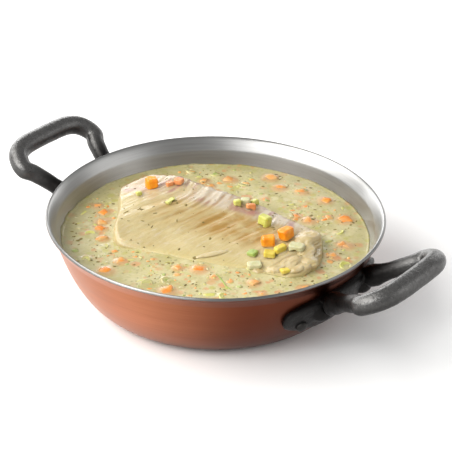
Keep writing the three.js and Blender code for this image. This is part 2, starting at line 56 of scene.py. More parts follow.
# Vertices that are nearer than this are merged: in a shell, in a CAD node, along a grid's seam.
WELD = 5e-3
NODE_WELD = 1e-3
SEAM_WELD = 1e-4

log = logging.getLogger("pan_of_cod")

Pair = tuple[float, float]
Triple = tuple[float, float, float]
Color = Triple
Array = np.ndarray
Piece = bpy.types.Object
Material = bpy.types.Material
Socket = bpy.types.NodeSocket
Tree = bpy.types.NodeTree


class Slot(Enum):
    """The material slots."""

    COPPER = "bonded_copper"
    IRON = "cast_iron"
    RIVET = "rivet_iron"
    COD = "cod"
    SAUCE = "sauce"
    CARROT = "carrot"
    LEEK = "leek"
    LEAF = "leek_leaf"
    ONION = "onion"


class Side(Enum):
    """The two ends of the handles' line, with each one's turn about the pan's axis."""

    RIGHT = 0.0
    LEFT = math.pi


# --- numbers


def smoothstep(values: Array, low: float, high: float) -> Array:
    """A smooth 0 to 1 ramp between two values."""
    share = np.clip((values - low) / (high - low), 0.0, 1.0)
    return share * share * (3 - 2 * share)


def along(values: Array, knots: Sequence[Pair]) -> Array:
    """What a line through knots gives at some values."""
    return np.interp(values, *np.array(knots).T)


def lattice_noise(points: Array, seed: int) -> Array:
    """Smooth repeatable noise with features of about one unit.

    Args:
        points: An array of rows of three coordinates.
        seed: Picks one pattern of many.

    Returns:
        One value between -1 and 1 for each point.
    """
    cell = np.floor(points).astype(np.int64)
    part = points - cell
    ease = part * part * (3 - 2 * part)
    total = np.zeros(len(points))
    for corner in itertools.product((0, 1), repeat=3):
        at = cell + np.array(corner)
        mixed = at[:, 0] * 73856093 ^ at[:, 1] * 19349663 ^ at[:, 2] * 83492791 ^ seed * 83492
        mixed = (mixed * 1103515245 + 12345) & 0x7FFFFFFF
        mixed = ((mixed ^ mixed >> 13) * 1274126177) & 0x7FFFFFFF
        value = (mixed >> 7 & 0xFFFF) / 32767.5 - 1
        total += value * np.prod(np.where(corner, ease, 1 - ease), axis=1)
    return total


def fractal(points: Array, size: float, seed: int, octaves: int = 3) -> Array:
    """Layered noise.

    Args:
        points: An array of rows of three coordinates, in millimetres.
        size: The largest features' size, in millimetres.
        seed: Picks one pattern of many.
        octaves: How many layers, each half the size and strength of the last.

    Returns:
        One value for each point, mostly between -1 and 1.
    """
    layers = [
        lattice_noise(points * (2**k / size), seed + 17 * k) * 0.5**k for k in range(octaves)
    ]
    return sum(layers) / (2 - 0.5 ** (octaves - 1))


def catmull_rom(points: Array, closed: bool, even: bool, per_span: int) -> Array:
    """A smooth curve through points.

    Args:
        points: An array of rows of coordinates.
        closed: True joins the last point to the first.
        even: True spaces the knots evenly, False by the root of the distance.
        per_span: How many points the curve gets for each span.

    Returns:
        The points along the curve, with the last one only on an open curve.
    """
    if closed:
        padded = np.concatenate([points[-1:], points, points[:2]])
    else:
        beyond = [2 * points[0] - points[1]], [2 * points[-1] - points[-2]]
        padded = np.concatenate([beyond[0], points, beyond[1]])
    share = np.linspace(0, 1, per_span, endpoint=False)[:, None]
    curve = []
    for k in range(len(padded) - 3):
        p0, p1, p2, p3 = padded[k : k + 4]
        d0, d1, d2 = (
            1.0 if even else max(np.linalg.norm(b - a), 1e-6) ** 0.5
            for a, b in ((p0, p1), (p1, p2), (p2, p3))
        )
        start = ((p1 - p0) / d0 - (p2 - p0) / (d0 + d1) + (p2 - p1) / d1) * d1
        end = ((p2 - p1) / d1 - (p3 - p1) / (d1 + d2) + (p3 - p2) / d2) * d1
        curve.append(
            p1
            + start * share
            + (3 * (p2 - p1) - 2 * start - end) * share**2
            + (2 * (p1 - p2) + start + end) * share**3
        )
    if not closed:
        curve.append(points[-1:])
    return np.concatenate(curve)


def bezier(handles: Sequence[Array], steps: int) -> tuple[Array, Array]:
    """Points along a Bezier curve of any degree, with their unit directions.

    Args:
        handles: The curve's control points.
        steps: How many steps it is cut into.

    Returns:
        The points, and the directions at them.
    """
    t = np.linspace(0, 1, steps + 1)[:, None]

    def blend(values: Sequence[Array]) -> Array:
        """Values weighted along the curve."""
        degree = len(values) - 1
        weights = (math.comb(degree, k) * (1 - t) ** (degree - k) * t**k for k in range(degree + 1))
        return sum(weight * value for weight, value in zip(weights, values))

    along = blend(np.diff(handles, axis=0))
    return blend(handles), along / np.linalg.norm(along, axis=1)[:, None]


def draws(seed: int) -> Iterator[float]:
    """Repeatable draws between 0 and 1, by the minimal standard generator.

    Args:
        seed: Where the sequence starts.

    Returns:
        An endless iterator of the draws.
    """
    multiplier = 16807
    modulus = 2147483647
    state = seed
    while True:
        state = state * multiplier % modulus
        yield state / modulus


# --- meshes


def add_object(name: str, data: Any) -> Piece:
    """Puts data into the scene as a new object."""
    obj = bpy.data.objects.new(name, data)
    bpy.context.scene.collection.objects.link(obj)
    return obj


def deselect_all() -> None:
    """Leaves edit mode and selects nothing."""
    if bpy.context.mode != "OBJECT":
        bpy.ops.object.mode_set(mode="OBJECT")
    bpy.ops.object.select_all(action="DESELECT")


def pick(obj: Piece) -> Piece:
    """Selects one object alone and makes it the active one."""
    deselect_all()
    obj.select_set(True)
    bpy.context.view_layer.objects.active = obj
    return obj


@contextmanager
def editing(obj: Piece, mode: str = "VERT") -> Iterator[None]:
    """Edit mode on one object with all of it selected, and object mode again after.

    Args:
        obj: The mesh object to edit.
        mode: The kind of element that is selected: VERT, EDGE or FACE.

    Returns:
        A context that leaves edit mode when it ends.
    """
    pick(obj)
    bpy.ops.object.mode_set(mode="EDIT")
    bpy.ops.mesh.select_mode(type=mode)
    bpy.ops.mesh.select_all(action="SELECT")
    yield
    bpy.ops.object.mode_set(mode="OBJECT")


def rows(items: Any, key: str) -> Array:
    """A property of three numbers, with a row for each vertex or face."""
    values = np.empty(len(items) * 3)
    items.foreach_get(key, values)
    return values.reshape(-1, 3)


def coordinates(obj: Piece) -> Array:
    """The vertices' coordinates, one row each."""
    return rows(obj.data.vertices, "co")


def normals(obj: Piece) -> Array:
    """The vertices' normals, one row each."""
    return rows(obj.data.vertices, "normal")


def set_coordinates(obj: Piece, points: Array) -> None:
    """Moves the vertices to new coordinates, one row each."""
    obj.data.vertices.foreach_set("co", np.ascontiguousarray(points, dtype=np.float32).ravel())
    obj.data.update()


def raise_skin(obj: Piece, points: Array, relief: Array) -> None:
    """Moves the vertices to points that are lifted along the normals by their relief."""
    set_coordinates(obj, points + normals(obj) * relief[:, None])


def paint(obj: Piece, name: str, values: Array) -> None:
    """Stores a value at each vertex, for the materials to read."""
    attribute = obj.data.attributes.get(name) or obj.data.attributes.new(name, "FLOAT", "POINT")
    attribute.data.foreach_set("value", np.asarray(values, dtype=np.float32))


def apply_modifier(obj: Piece, kind: str, **settings: Any) -> None:
    """Adds a modifier with its settings and applies it to the mesh.

    Args:
        obj: The mesh object.
        kind: The modifier's type.
        settings: The modifier's properties, by name.
    """
    pick(obj)
    modifier = obj.modifiers.new(kind.title(), kind)
    for key, value in settings.items():
        setattr(modifier, key, value)
    bpy.ops.object.modifier_apply(modifier=modifier.name)


def join(parts: Sequence[Piece]) -> Piece:
    """Joins mesh objects into the first one.

    Args:
        parts: The mesh objects.

    Returns:
        The first one, which now holds them all.
    """
    deselect_all()
    for part in parts:
        part.select_set(True)
    bpy.context.view_layer.objects.active = parts[0]
    if len(parts) > 1:
        bpy.ops.object.join()
    return pick(parts[0])


def tidy_shell(obj: Piece) -> None:
    """Merges doubles, drops loose bits and turns the faces outwards."""
    with editing(obj):
        bpy.ops.mesh.remove_doubles(threshold=WELD)
        bpy.ops.mesh.delete_loose(use_verts=True, use_edges=True, use_faces=False)
        bpy.ops.mesh.select_all(action="SELECT")
        bpy.ops.mesh.normals_make_consistent(inside=False)


def soft_skin(obj: Piece, voxel: float, softening: int) -> None:
    """Remeshes a form by voxels of a size and smooths it a number of times."""
    apply_modifier(obj, "REMESH", mode="VOXEL", voxel_size=voxel)
    apply_modifier(obj, "SMOOTH", factor=0.5, iterations=softening)


def inset_rings(obj: Piece, chosen: Callable[[Any], bool], rings: Sequence[Pair]) -> None:
    """Insets some faces ring after ring.

    Args:
        obj: The mesh object.
        chosen: Says whether a face is one of them.
        rings: The width and the depth of each ring.
    """
    with editing(obj, "FACE"):
        bpy.ops.mesh.select_all(action="DESELECT")
    for face in obj.data.polygons:
        face.select = chosen(face)
    pick(obj)
    bpy.ops.object.mode_set(mode="EDIT")
    for width, depth in rings:
        bpy.ops.mesh.inset(thickness=width, depth=depth)
    bpy.ops.object.mode_set(mode="OBJECT")


def swept(name: str, line: Array, radii: Array, depth: float, resolution: int) -> Piece:
    """A round bar along a line, from a curve that is then made a mesh.

    Args:
        name: The object's name.
        line: Rows of three coordinates along the bar's middle.
        radii: The bar's radius at each of them, in units of the depth.
        depth: The depth of the curve's bevel.
        resolution: The resolution of the curve's bevel.

    Returns:
        The new mesh object.
    """
    curve = bpy.data.curves.new(name, "CURVE")
    curve.dimensions = "3D"
    curve.bevel_depth = depth
    curve.bevel_resolution = resolution
    curve.use_fill_caps = True
    spline = curve.splines.new("POLY")
    spline.points.add(len(line) - 1)
    spline.points.foreach_set("co", np.column_stack([line, np.ones(len(line))]).ravel())
    spline.points.foreach_set("radius", radii)
    pick(add_object(name, curve))
    bpy.ops.object.convert(target="MESH")
    return bpy.context.object


def spun(name: str, profile: Array, steps: int) -> Piece:
    """A closed round shell, spun about the upright axis.

    Args:
        name: The object's name.
        profile: Rows of radius and height, which close on themselves.
        steps: How many steps make the whole turn.

    Returns:
        The new mesh object.
    """
    bpy.ops.mesh.primitive_circle_add(vertices=len(profile), fill_type="NOTHING")
    obj = bpy.context.object
    obj.name = name
    set_coordinates(obj, np.column_stack([profile[:, 0], np.zeros(len(profile)), profile[:, 1]]))
    with editing(obj):
        bpy.ops.mesh.spin(
            steps=steps, angle=2 * math.pi, center=(0, 0, 0), axis=(0, 0, 1), use_auto_merge=False
        )
    tidy_shell(obj)
    return obj


def lattice(name: str, rings: Array) -> Piece:
    """A closed skin over rings of equally many points, from a grid that is wrapped round.

    Args:
        name: The object's name.
        rings: An array of rings, each an array of rows of three coordinates.

    Returns:
        The new mesh object, whose first vertices are the rings' points in order.
    """
    count, around = rings.shape[:2]
    bpy.ops.mesh.primitive_grid_add(x_subdivisions=around, y_subdivisions=count - 1, size=1)
    obj = bpy.context.object
    obj.name = name
    set_coordinates(obj, np.concatenate([rings, rings[:, :1]], axis=1).reshape(-1, 3))
    with editing(obj):
        bpy.ops.mesh.remove_doubles(threshold=SEAM_WELD)
        bpy.ops.mesh.select_all(action="DESELECT")
        bpy.ops.mesh.select_non_manifold(extend=False)
        bpy.ops.mesh.fill_holes(sides=0)
        bpy.ops.mesh.select_all(action="SELECT")
        bpy.ops.mesh.normals_make_consistent(inside=False)
    return obj


def copy_of_node(node: str) -> Piece:
    """A merged copy of a CAD node, in millimetres.

    Args:
        node: The node's name.

    Returns:
        The new mesh object.
    """
    obj = add_object(node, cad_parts[node].data.copy())
    obj.data.materials.clear()
    obj.data.transform(Matrix.Scale(1 / MM, 4))
    with editing(obj):
        bpy.ops.mesh.remove_doubles(threshold=NODE_WELD)
    return obj


def settle(
    obj: Piece,
    name: str,
    materials: Sequence[Material],
    turn: float = 0.0,
    nodes: Sequence[str] = (),
) -> Piece:
    """Brings a finished piece to metres, dresses it and lets it ride on the pan's body.

    Args:
        obj: The mesh object, modelled in millimetres about the pan's axis.
        name: The piece's name.
        materials: The materials of its slots, in order.
        turn: A turn about the upright axis that takes it into the pan's frame.
        nodes: The CAD nodes that it stands for.

    Returns:
        The same object.
    """
    deselect_all()
    obj.name = name
    obj.data.name = name
    obj.data.transform(Matrix.Scale(MM, 4) @ Matrix.Rotation(turn, 4, "Z") @ obj.matrix_world)
    obj.matrix_world = Matrix.Identity(4)
    for material in materials:
        obj.data.materials.append(material)
    pick(obj)
    bpy.ops.object.shade_smooth()
    deselect_all()
    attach(obj, ROOT)
    if nodes:
        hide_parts(*nodes)
    log.info("%s: %d vertices", name, len(obj.data.vertices))
    return obj


# --- material graphs


class Graph:
    """Adds and joins the nodes of one material or node group."""

    def __init__(self, tree: Tree) -> None:
        """Starts on a node tree."""
        self.tree = tree

    def node(self, kind: str, inputs: dict | None = None, **settings: Any) -> bpy.types.Node:
        """Adds a node.

        Args:
            kind: The node's type.
            inputs: Input sockets by name or place, each with a value or a socket to join.
            settings: The node's properties, by name.

        Returns:
            The new node.
        """
        node = self.tree.nodes.new(kind)
        for key, value in settings.items():
            setattr(node, key, value)
        self.fill(node, inputs or {})
        return node

    def fill(self, node: bpy.types.Node, inputs: dict) -> None:
        """Sets or joins a node's inputs, each by its name or place.

        Args:
            node: The node to fill.
            inputs: Input sockets by name or place, each with a value or a socket to join.
        """
        for key, value in inputs.items():
            socket = node.inputs[key]
            if isinstance(value, Socket):
                self.tree.links.new(value, socket)
            else:
                socket.default_value = (*value, 1.0) if socket.type == "RGBA" else value

    def place(self) -> Socket:
        """The place on the object, in metres."""
        return self.node("ShaderNodeTexCoord").outputs["Object"]

    def painted(self, name: str) -> Socket:
        """A value that is stored at the piece's vertices."""
        return self.node("ShaderNodeAttribute", attribute_name=name).outputs["Fac"]

    def noise(self, vector: Socket, scale: float, detail: float = 3.0, rough: float = 0.5) -> Socket:
        """Layered noise between about 0 and 1."""
        inputs = {"Vector": vector, "Scale": scale, "Detail": detail, "Roughness": rough}
        return self.node("ShaderNodeTexNoise", inputs).outputs["Fac"]

    def math(self, operation: str, *values: Any) -> Socket:
        """The result of a math operation on one or two values."""
        inputs = dict(enumerate(values))
        return self.node("ShaderNodeMath", inputs, operation=operation).outputs[0]

    def times(self, first: Any, second: Any) -> Socket:
        """The product of two values."""
        return self.math("MULTIPLY", first, second)

    def plus(self, first: Any, second: Any, share: float) -> Socket:
        """A value and a share of another one."""
        return self.math("ADD", first, self.times(second, share))

    def moved(self, place: Socket, shift: Any) -> Socket:
        """A place moved by a shift."""
        return self.node("ShaderNodeVectorMath", {0: place, 1: shift}).outputs[0]

    def scaled(self, place: Socket, scale: float) -> Socket:
        """A vector times a number."""
        return self.node("ShaderNodeVectorMath", {0: place, 3: scale}, operation="SCALE").outputs[0]

    def ramp(self, value: Socket, low: float, high: float, start: float = 0, end: float = 1) -> Socket:
        """A value brought smoothly from one range to another, and held at its ends."""
        inputs = {"Value": value, "From Min": low, "From Max": high, "To Min": start, "To Max": end}
        node = self.node("ShaderNodeMapRange", inputs, interpolation_type="SMOOTHSTEP")
        return node.outputs["Result"]

    def mix(self, share: Any, first: Any, second: Any) -> Socket:
        """Two colours mixed by a share."""
        node = self.node("ShaderNodeMix", {0: share, 6: first, 7: second}, data_type="RGBA")
        return node.outputs[2]

    def stretched(self, vector: Socket, length: float, turn: float) -> Socket:
        """A place that makes a pattern longer along a level direction, given by its turn."""
        inputs = {"Vector": vector, "Rotation": (0, 0, turn), "Scale": (length, 1, 1)}
        return self.node("ShaderNodeMapping", inputs, vector_type="TEXTURE").outputs[0]

    def bump(
        self,
        height: Socket,
        distance: float,
        strength: float = 1.0,
        normal: Socket | None = None,
    ) -> Socket:
        """A normal that is tilted by a height map.

        Args:
            height: The height, where 1 is the full distance.
            distance: The depth of the relief in metres.
            strength: The share of the effect.
            normal: A normal that this one adds to.

        Returns:
            The normal's socket.
        """
        inputs = {"Height": height, "Distance": distance, "Strength": strength}
        if normal is not None:
            inputs["Normal"] = normal
        return self.node("ShaderNodeBump", inputs).outputs["Normal"]


def new_group(name: str, inputs: dict[str, Any], outputs: Sequence[str]) -> tuple[Tree, Graph, Any]:
    """A shader node group with named inputs and outputs.

    Args:
        name: The group's name.
        inputs: Input names with their default values: a number, or three for a colour.
        outputs: Output names, each starting with a capital: Color ends a colour's name.

    Returns:
        The group's tree, its graph and the sockets that give its inputs.
    """
    tree = bpy.data.node_groups.new(name, "ShaderNodeTree")
    for key, value in inputs.items():
        kind = "Vector" if key == "Vector" else "Color" if isinstance(value, tuple) else "Float"
        socket = tree.interface.new_socket(key, in_out="INPUT", socket_type=f"NodeSocket{kind}")
        if value is not None:
            socket.default_value = (*value, 1.0) if kind == "Color" else value
    for key in outputs:
        kind = "NodeSocketColor" if key.endswith("Color") else "NodeSocketFloat"
        tree.interface.new_socket(key, in_out="OUTPUT", socket_type=kind)
    graph = Graph(tree)
    return tree, graph, graph.node("NodeGroupInput").outputs


class Effects:
    """The node groups that several finishes share."""

    def __init__(self) -> None:
        """Builds each group once."""
        self.mottle = self._mottle()
        self.specks = self._specks()
        self.rings = self._rings()
        self.casting = self._casting()

    @staticmethod
    def _mottle() -> Tree:
        """Soft blotches and a fine grain between two colours, as cooked food has."""
        inputs = {"Vector": None, "Blotch Scale": 120.0, "Grain Scale": 900.0,
                  "Low Color": (0.4, 0.4, 0.4), "High Color": (0.8, 0.8, 0.8)}
        tree, graph, given = new_group("Mottle", inputs, ("Color", "Height"))
        blotch = graph.noise(given["Vector"], given["Blotch Scale"], 4.0)
        grain = graph.noise(given["Vector"], given["Grain Scale"], 2.0)
        share = graph.ramp(graph.plus(blotch, grain, 0.35), 0.4, 0.95)
        color = graph.mix(share, given["Low Color"], given["High Color"])
        height = graph.plus(graph.times(blotch, 0.6), grain, 0.4)
        graph.node("NodeGroupOutput", {"Color": color, "Height": height})
        return tree

    @staticmethod
    def _specks() -> Tree:
        """Soft round specks in some cells of a pattern, each with a drawn value of its own."""
        inputs = {"Vector": None, "Scale": 300.0, "Share": 0.3, "Radius": 0.5}
        tree, graph, given = new_group("Specks", inputs, ("Mask", "Draw"))
        sway = graph.node("ShaderNodeTexNoise", {"Vector": given["Vector"], "Scale": 500.0}).outputs[1]
        vector = graph.moved(given["Vector"], graph.scaled(sway, 0.0025))
        cell = graph.node("ShaderNodeTexVoronoi", {"Vector": vector, "Scale": given["Scale"]})
        drawn = graph.node("ShaderNodeSeparateColor", {0: cell.outputs["Color"]}).outputs
        near = graph.ramp(cell.outputs["Distance"], given["Radius"], graph.times(given["Radius"], 0.45))
        mask = graph.times(near, graph.math("LESS_THAN", drawn[0], given["Share"]))
        graph.node("NodeGroupOutput", {"Mask": mask, "Draw": drawn[1]})
        return tree

    @staticmethod
    def _rings() -> Tree:
        """Fine lines that run around the pan, as a spun and brushed sheet has."""
        inputs = {"Vector": None, "Scale": 900.0}
        tree, graph, given = new_group("Brushed rings", inputs, ("Tone", "Height"))
        parts = graph.node("ShaderNodeSeparateXYZ", {0: given["Vector"]}).outputs
        flat = graph.node("ShaderNodeCombineXYZ", {0: parts[0], 1: parts[1]}).outputs[0]
        radius = graph.node("ShaderNodeVectorMath", {0: flat}, operation="LENGTH").outputs["Value"]
        line = graph.node("ShaderNodeCombineXYZ", {0: radius, 2: parts[2]}).outputs[0]
        line = graph.moved(line, graph.scaled(flat, 0.03))
        fine = graph.noise(line, given["Scale"], 3.0, 0.7)
        tone = graph.plus(graph.times(fine, 0.5), graph.noise(line, 130.0, 2.0), 0.5)
        graph.node("NodeGroupOutput", {"Tone": tone, "Height": fine})
        return tree

    @staticmethod
    def _casting() -> Tree:
        """The grain and the worn patches of sand-cast iron."""
        inputs = {"Vector": None, "Scale": 1100.0, "Wear Scale": 420.0}
        tree, graph, given = new_group("Sand casting", inputs, ("Wear", "Height"))
        grain = graph.noise(given["Vector"], given["Scale"], 4.0, 0.65)
        cell = graph.node("ShaderNodeTexVoronoi", {"Vector": given["Vector"], "Scale": 420.0})
        wear = graph.ramp(graph.noise(given["Vector"], given["Wear Scale"], 6.0, 0.7), 0.3, 0.7)
        height = graph.plus(graph.times(grain, 0.75), cell.outputs["Distance"], 0.25)
        graph.node("NodeGroupOutput", {"Wear": wear, "Height": height})
        return tree


@dataclass(frozen=True)
class Finish:
    """A surface finish: what all of them share."""

    name: str
    roughness: float = 0.4
    low: Color = (0.5, 0.5, 0.5)
    high: Color = (0.6, 0.6, 0.6)

    def start(self) -> tuple[Material, Graph, bpy.types.Node]:
        """An empty material with its shader.

        Returns:
            The material, its graph and its Principled shader.
        """
        material = bpy.data.materials.new(self.name)
        material.use_nodes = True
        material.node_tree.nodes.clear()
        graph = Graph(material.node_tree)
        shader = graph.node("ShaderNodeBsdfPrincipled", {"Roughness": self.roughness})
        graph.node("ShaderNodeOutputMaterial", {"Surface": shader.outputs[0]})
        return material, graph, shader

    @staticmethod
    def grouped(graph: Graph, group: Tree, **inputs: Any) -> Any:
        """Places a shared group in a material.

        Args:
            graph: The material's graph.
            group: The group's tree.
            inputs: The group's inputs, with an underscore for each space in a name.

        Returns:
            The group's outputs.
        """
        named = {key.replace("_", " "): value for key, value in inputs.items()}
        node = graph.tree.nodes.new("ShaderNodeGroup")
        node.node_tree = group
        graph.fill(node, named)
        return node.outputs

    def mottled(self, graph: Graph, effects: Effects, place: Socket, blotch: float, grain: float) -> Any:
        """Places the mottle between the finish's two colours, with its two scales."""
        return self.grouped(graph, effects.mottle, Vector=place, Blotch_Scale=blotch, Grain_Scale=grain,
                            Low_Color=self.low, High_Color=self.high)

    @staticmethod
    def join(graph: Graph, shader: bpy.types.Node, **sockets: Socket) -> None:
        """Joins results to the shader's sockets, with an underscore for each space in a name."""
        for key, socket in sockets.items():
            graph.tree.links.new(socket, shader.inputs[key.replace("_", " ")])

    @staticmethod
    def soften(shader: bpy.types.Node, weight: float, depth: float, coat: float, gloss: float) -> None:
        """Lets some light into the food and lays a wet coat on it.

        Args:
            shader: The Principled shader.
            weight: The share of the light that goes under the surface.
            depth: How deep red light goes, in metres.
            coat: The strength of the wet coat.
            gloss: The coat's roughness.
        """
        values = {"Subsurface Weight": weight, "Subsurface Radius": (1.0, 0.65, 0.35),
                  "Subsurface Scale": depth, "Coat Weight": coat, "Coat Roughness": gloss}
        for key, value in values.items():
            shader.inputs[key].default_value = value


@dataclass(frozen=True)
class BrushedMetal(Finish):
    """A spun sheet with fine lines around it."""

    line_depth: float = 0.00001
    stain: float = 0.1
    # The colour of painted shade, mixed in where the piece's painted value says so.
    shade_paint: Color = (0.11, 0.022, 0.008)

    def build(self, effects: Effects) -> Material:
        """Makes the material."""
        material, graph, shader = self.start()
        shader.inputs["Metallic"].default_value = 1.0
        place = graph.place()
        rings = self.grouped(graph, effects.rings, Vector=place)
        stain = graph.noise(place, 30.0, 2.0)
        tone = graph.plus(rings["Tone"], stain, self.stain)
        rough = graph.ramp(tone, 0.35, 0.75, self.roughness * 0.9, self.roughness * 1.12)
        color = graph.mix(graph.ramp(tone, 0.3, 0.8), self.low, self.high)
        self.join(
            graph, shader, Roughness=rough,
            Base_Color=graph.mix(graph.painted("tarnished"), color, self.shade_paint),
            Normal=graph.bump(rings["Height"], self.line_depth, 0.6),
        )
        return material


@dataclass(frozen=True)
class CastIron(Finish):
    """Sand-cast iron, dark in its hollows and worn brighter where hands reach, with a painted highlight on
    faces that look up.
    """

    metallic: float = 0.8
    grain_depth: float = 0.0003

    def build(self, effects: Effects) -> Material:
        """Makes the material."""
        material, graph, shader = self.start()
        shader.inputs["Metallic"].default_value = self.metallic
        casting = self.grouped(graph, effects.casting, Vector=graph.place())
        worn = graph.ramp(casting["Wear"], 0.0, 1.0, 0.74, 1.0)
        # The painted value holds wear, a painted highlight on upper faces and painted shade under them.
        rubbed = graph.times(graph.painted("rubbed"), worn)
        grain = graph.ramp(casting["Height"], 0.3, 0.7, 0.8, 1.15)
        rough = graph.ramp(rubbed, 0.0, 1.0, self.roughness * 1.25, self.roughness * 0.8)
        self.join(
            graph, shader, Base_Color=graph.mix(rubbed, self.low, self.high),
            Roughness=graph.times(rough, grain),
            Normal=graph.bump(casting["Height"], self.grain_depth, 0.8),
        )
        return material


@dataclass(frozen=True)
class Flesh(Finish):
    """Cooked cod: cream flakes, golden in their grooves partly as painted shade, with a lilac membrane and a
    wet film.
    """

    gold: Color = (0.37, 0.215, 0.05)
    lilac: Color = (0.36, 0.195, 0.155)
    pale: Color = (0.60, 0.53, 0.43)
    film: Color = (0.51, 0.42, 0.18)
    grain_turn: float = math.radians(77.4)
    grain_depth: float = 0.0004

    def build(self, effects: Effects) -> Material:
        """Makes the material."""
        material, graph, shader = self.start()
        place = graph.place()
        mottle = self.mottled(graph, effects, place, 95.0, 1300.0)
        patch = graph.ramp(graph.noise(place, 130.0, 4.0), 0.3, 0.6, 0.4, 1.0)
        grain = graph.noise(graph.stretched(place, 9.0, self.grain_turn), 620.0, 4.0, 0.6)
        color = graph.mix(graph.ramp(grain, 0.5, 0.85, 0.0, 0.7), mottle["Color"], self.pale)
        color = graph.mix(graph.ramp(grain, 0.5, 0.2, 0.0, 0.4), color, self.gold)
        # Painted pale: the membrane's whiteness, with a painted highlight on the thin end's lit top-left.
        color = graph.mix(graph.painted("pale"), color, self.pale)
        for name, tint in (("membrane", self.lilac), ("gold", self.gold)):
            color = graph.mix(graph.times(graph.painted(name), patch), color, tint)
        color = graph.mix(graph.painted("film"), color, self.film)
        wet = graph.ramp(graph.noise(place, 140.0, 3.0), 0.35, 0.7,
                         self.roughness * 1.2, self.roughness * 0.75)
        self.soften(shader, weight=0.22, depth=0.0025, coat=0.3, gloss=0.22)
        fine = graph.bump(mottle["Height"], 0.00035, 0.5)
        self.join(graph, shader, Base_Color=color, Roughness=wet,
                  Normal=graph.bump(grain, self.grain_depth, 0.8, fine))
        return material


@dataclass(frozen=True)
class CreamSauce(Finish):
    """A pale cream sauce with bits of leek and carrot just under its wet skin.

    Each layer of specks has its pattern's scale, its share of the cells, its tint and its strength.
    """

    green: Color = (0.43, 0.41, 0.06)
    olive: Color = (0.26, 0.235, 0.10)
    blush: Color = (0.60, 0.25, 0.10)
    cream: Color = (0.70, 0.64, 0.40)
    specks: tuple[tuple[float, float, str, float], ...] = (
        (165.0, 0.34, "cream", 0.6), (190.0, 0.28, "green", 0.65), (150.0, 0.2, "blush", 0.8),
        (260.0, 0.24, "blush", 0.7), (330.0, 0.2, "green", 0.55), (520.0, 0.26, "olive", 0.7),
    )
    speck_radius: float = 0.55

    def build(self, effects: Effects) -> Material:
        """Makes the material."""
        material, graph, shader = self.start()
        place = graph.place()
        mottle = self.mottled(graph, effects, place, 60.0, 700.0)
        leafy = graph.ramp(graph.noise(place, 110.0, 3.0, 0.6), 0.5, 0.75, 0.0, 0.3)
        color = graph.mix(leafy, mottle["Color"], self.green)
        for scale, share, tint, strength in self.specks:
            specks = self.grouped(graph, effects.specks, Vector=graph.moved(place, (scale, 0, 0)),
                                  Scale=scale, Share=share, Radius=self.speck_radius)
            seen = graph.times(specks["Mask"], graph.ramp(specks["Draw"], 0, 1, 0.3, 1.0))
            color = graph.mix(graph.times(seen, strength), color, getattr(self, tint))
        color = graph.mix(graph.painted("blush"), color, self.blush)
        # Painted shadow of the pan's wall on the sauce near its edge, in the olive tint.
        color = graph.mix(graph.painted("edge"), color, self.olive)
        self.soften(shader, weight=0.15, depth=0.0015, coat=0.3, gloss=0.14)
        self.join(graph, shader, Base_Color=color, Normal=graph.bump(mottle["Height"], 0.0005, 0.5))
        return material


@dataclass(frozen=True)
class CookedVegetable(Finish):
    """A soft, wet piece of vegetable that the sauce covers in places."""

    sauce: Color = (0.50, 0.44, 0.225)
    fibre: float = 1.0

    def build(self, effects: Effects) -> Material:
        """Makes the material."""
        material, graph, shader = self.start()
        place = graph.place()
        fibres = graph.stretched(place, self.fibre, math.pi / 2)
        mottle = self.mottled(graph, effects, fibres, 260.0, 1400.0)
        broken = graph.ramp(graph.noise(place, 420.0, 3.0), 0.3, 0.7, 0.6, 1.0)
        covered = graph.times(graph.painted("covered"), broken)
        self.soften(shader, weight=0.25, depth=0.0012, coat=0.12, gloss=0.25)
        self.join(graph, shader, Base_Color=graph.mix(covered, mottle["Color"], self.sauce),
                  Normal=graph.bump(mottle["Height"], 0.00025, 0.5))
        return material


@dataclass(frozen=True)
class PlainMottle(Finish):
    """A matt surface of two close tones, for dried herbs and for the floor."""

    blotches: float = 160.0
    grain: float = 2500.0

    def build(self, effects: Effects) -> Material:
        """Makes the material."""
        material, graph, shader = self.start()
        mottle = self.mottled(graph, effects, graph.place(), self.blotches, self.grain)
        self.join(graph, shader, Base_Color=mottle["Color"])
        return material


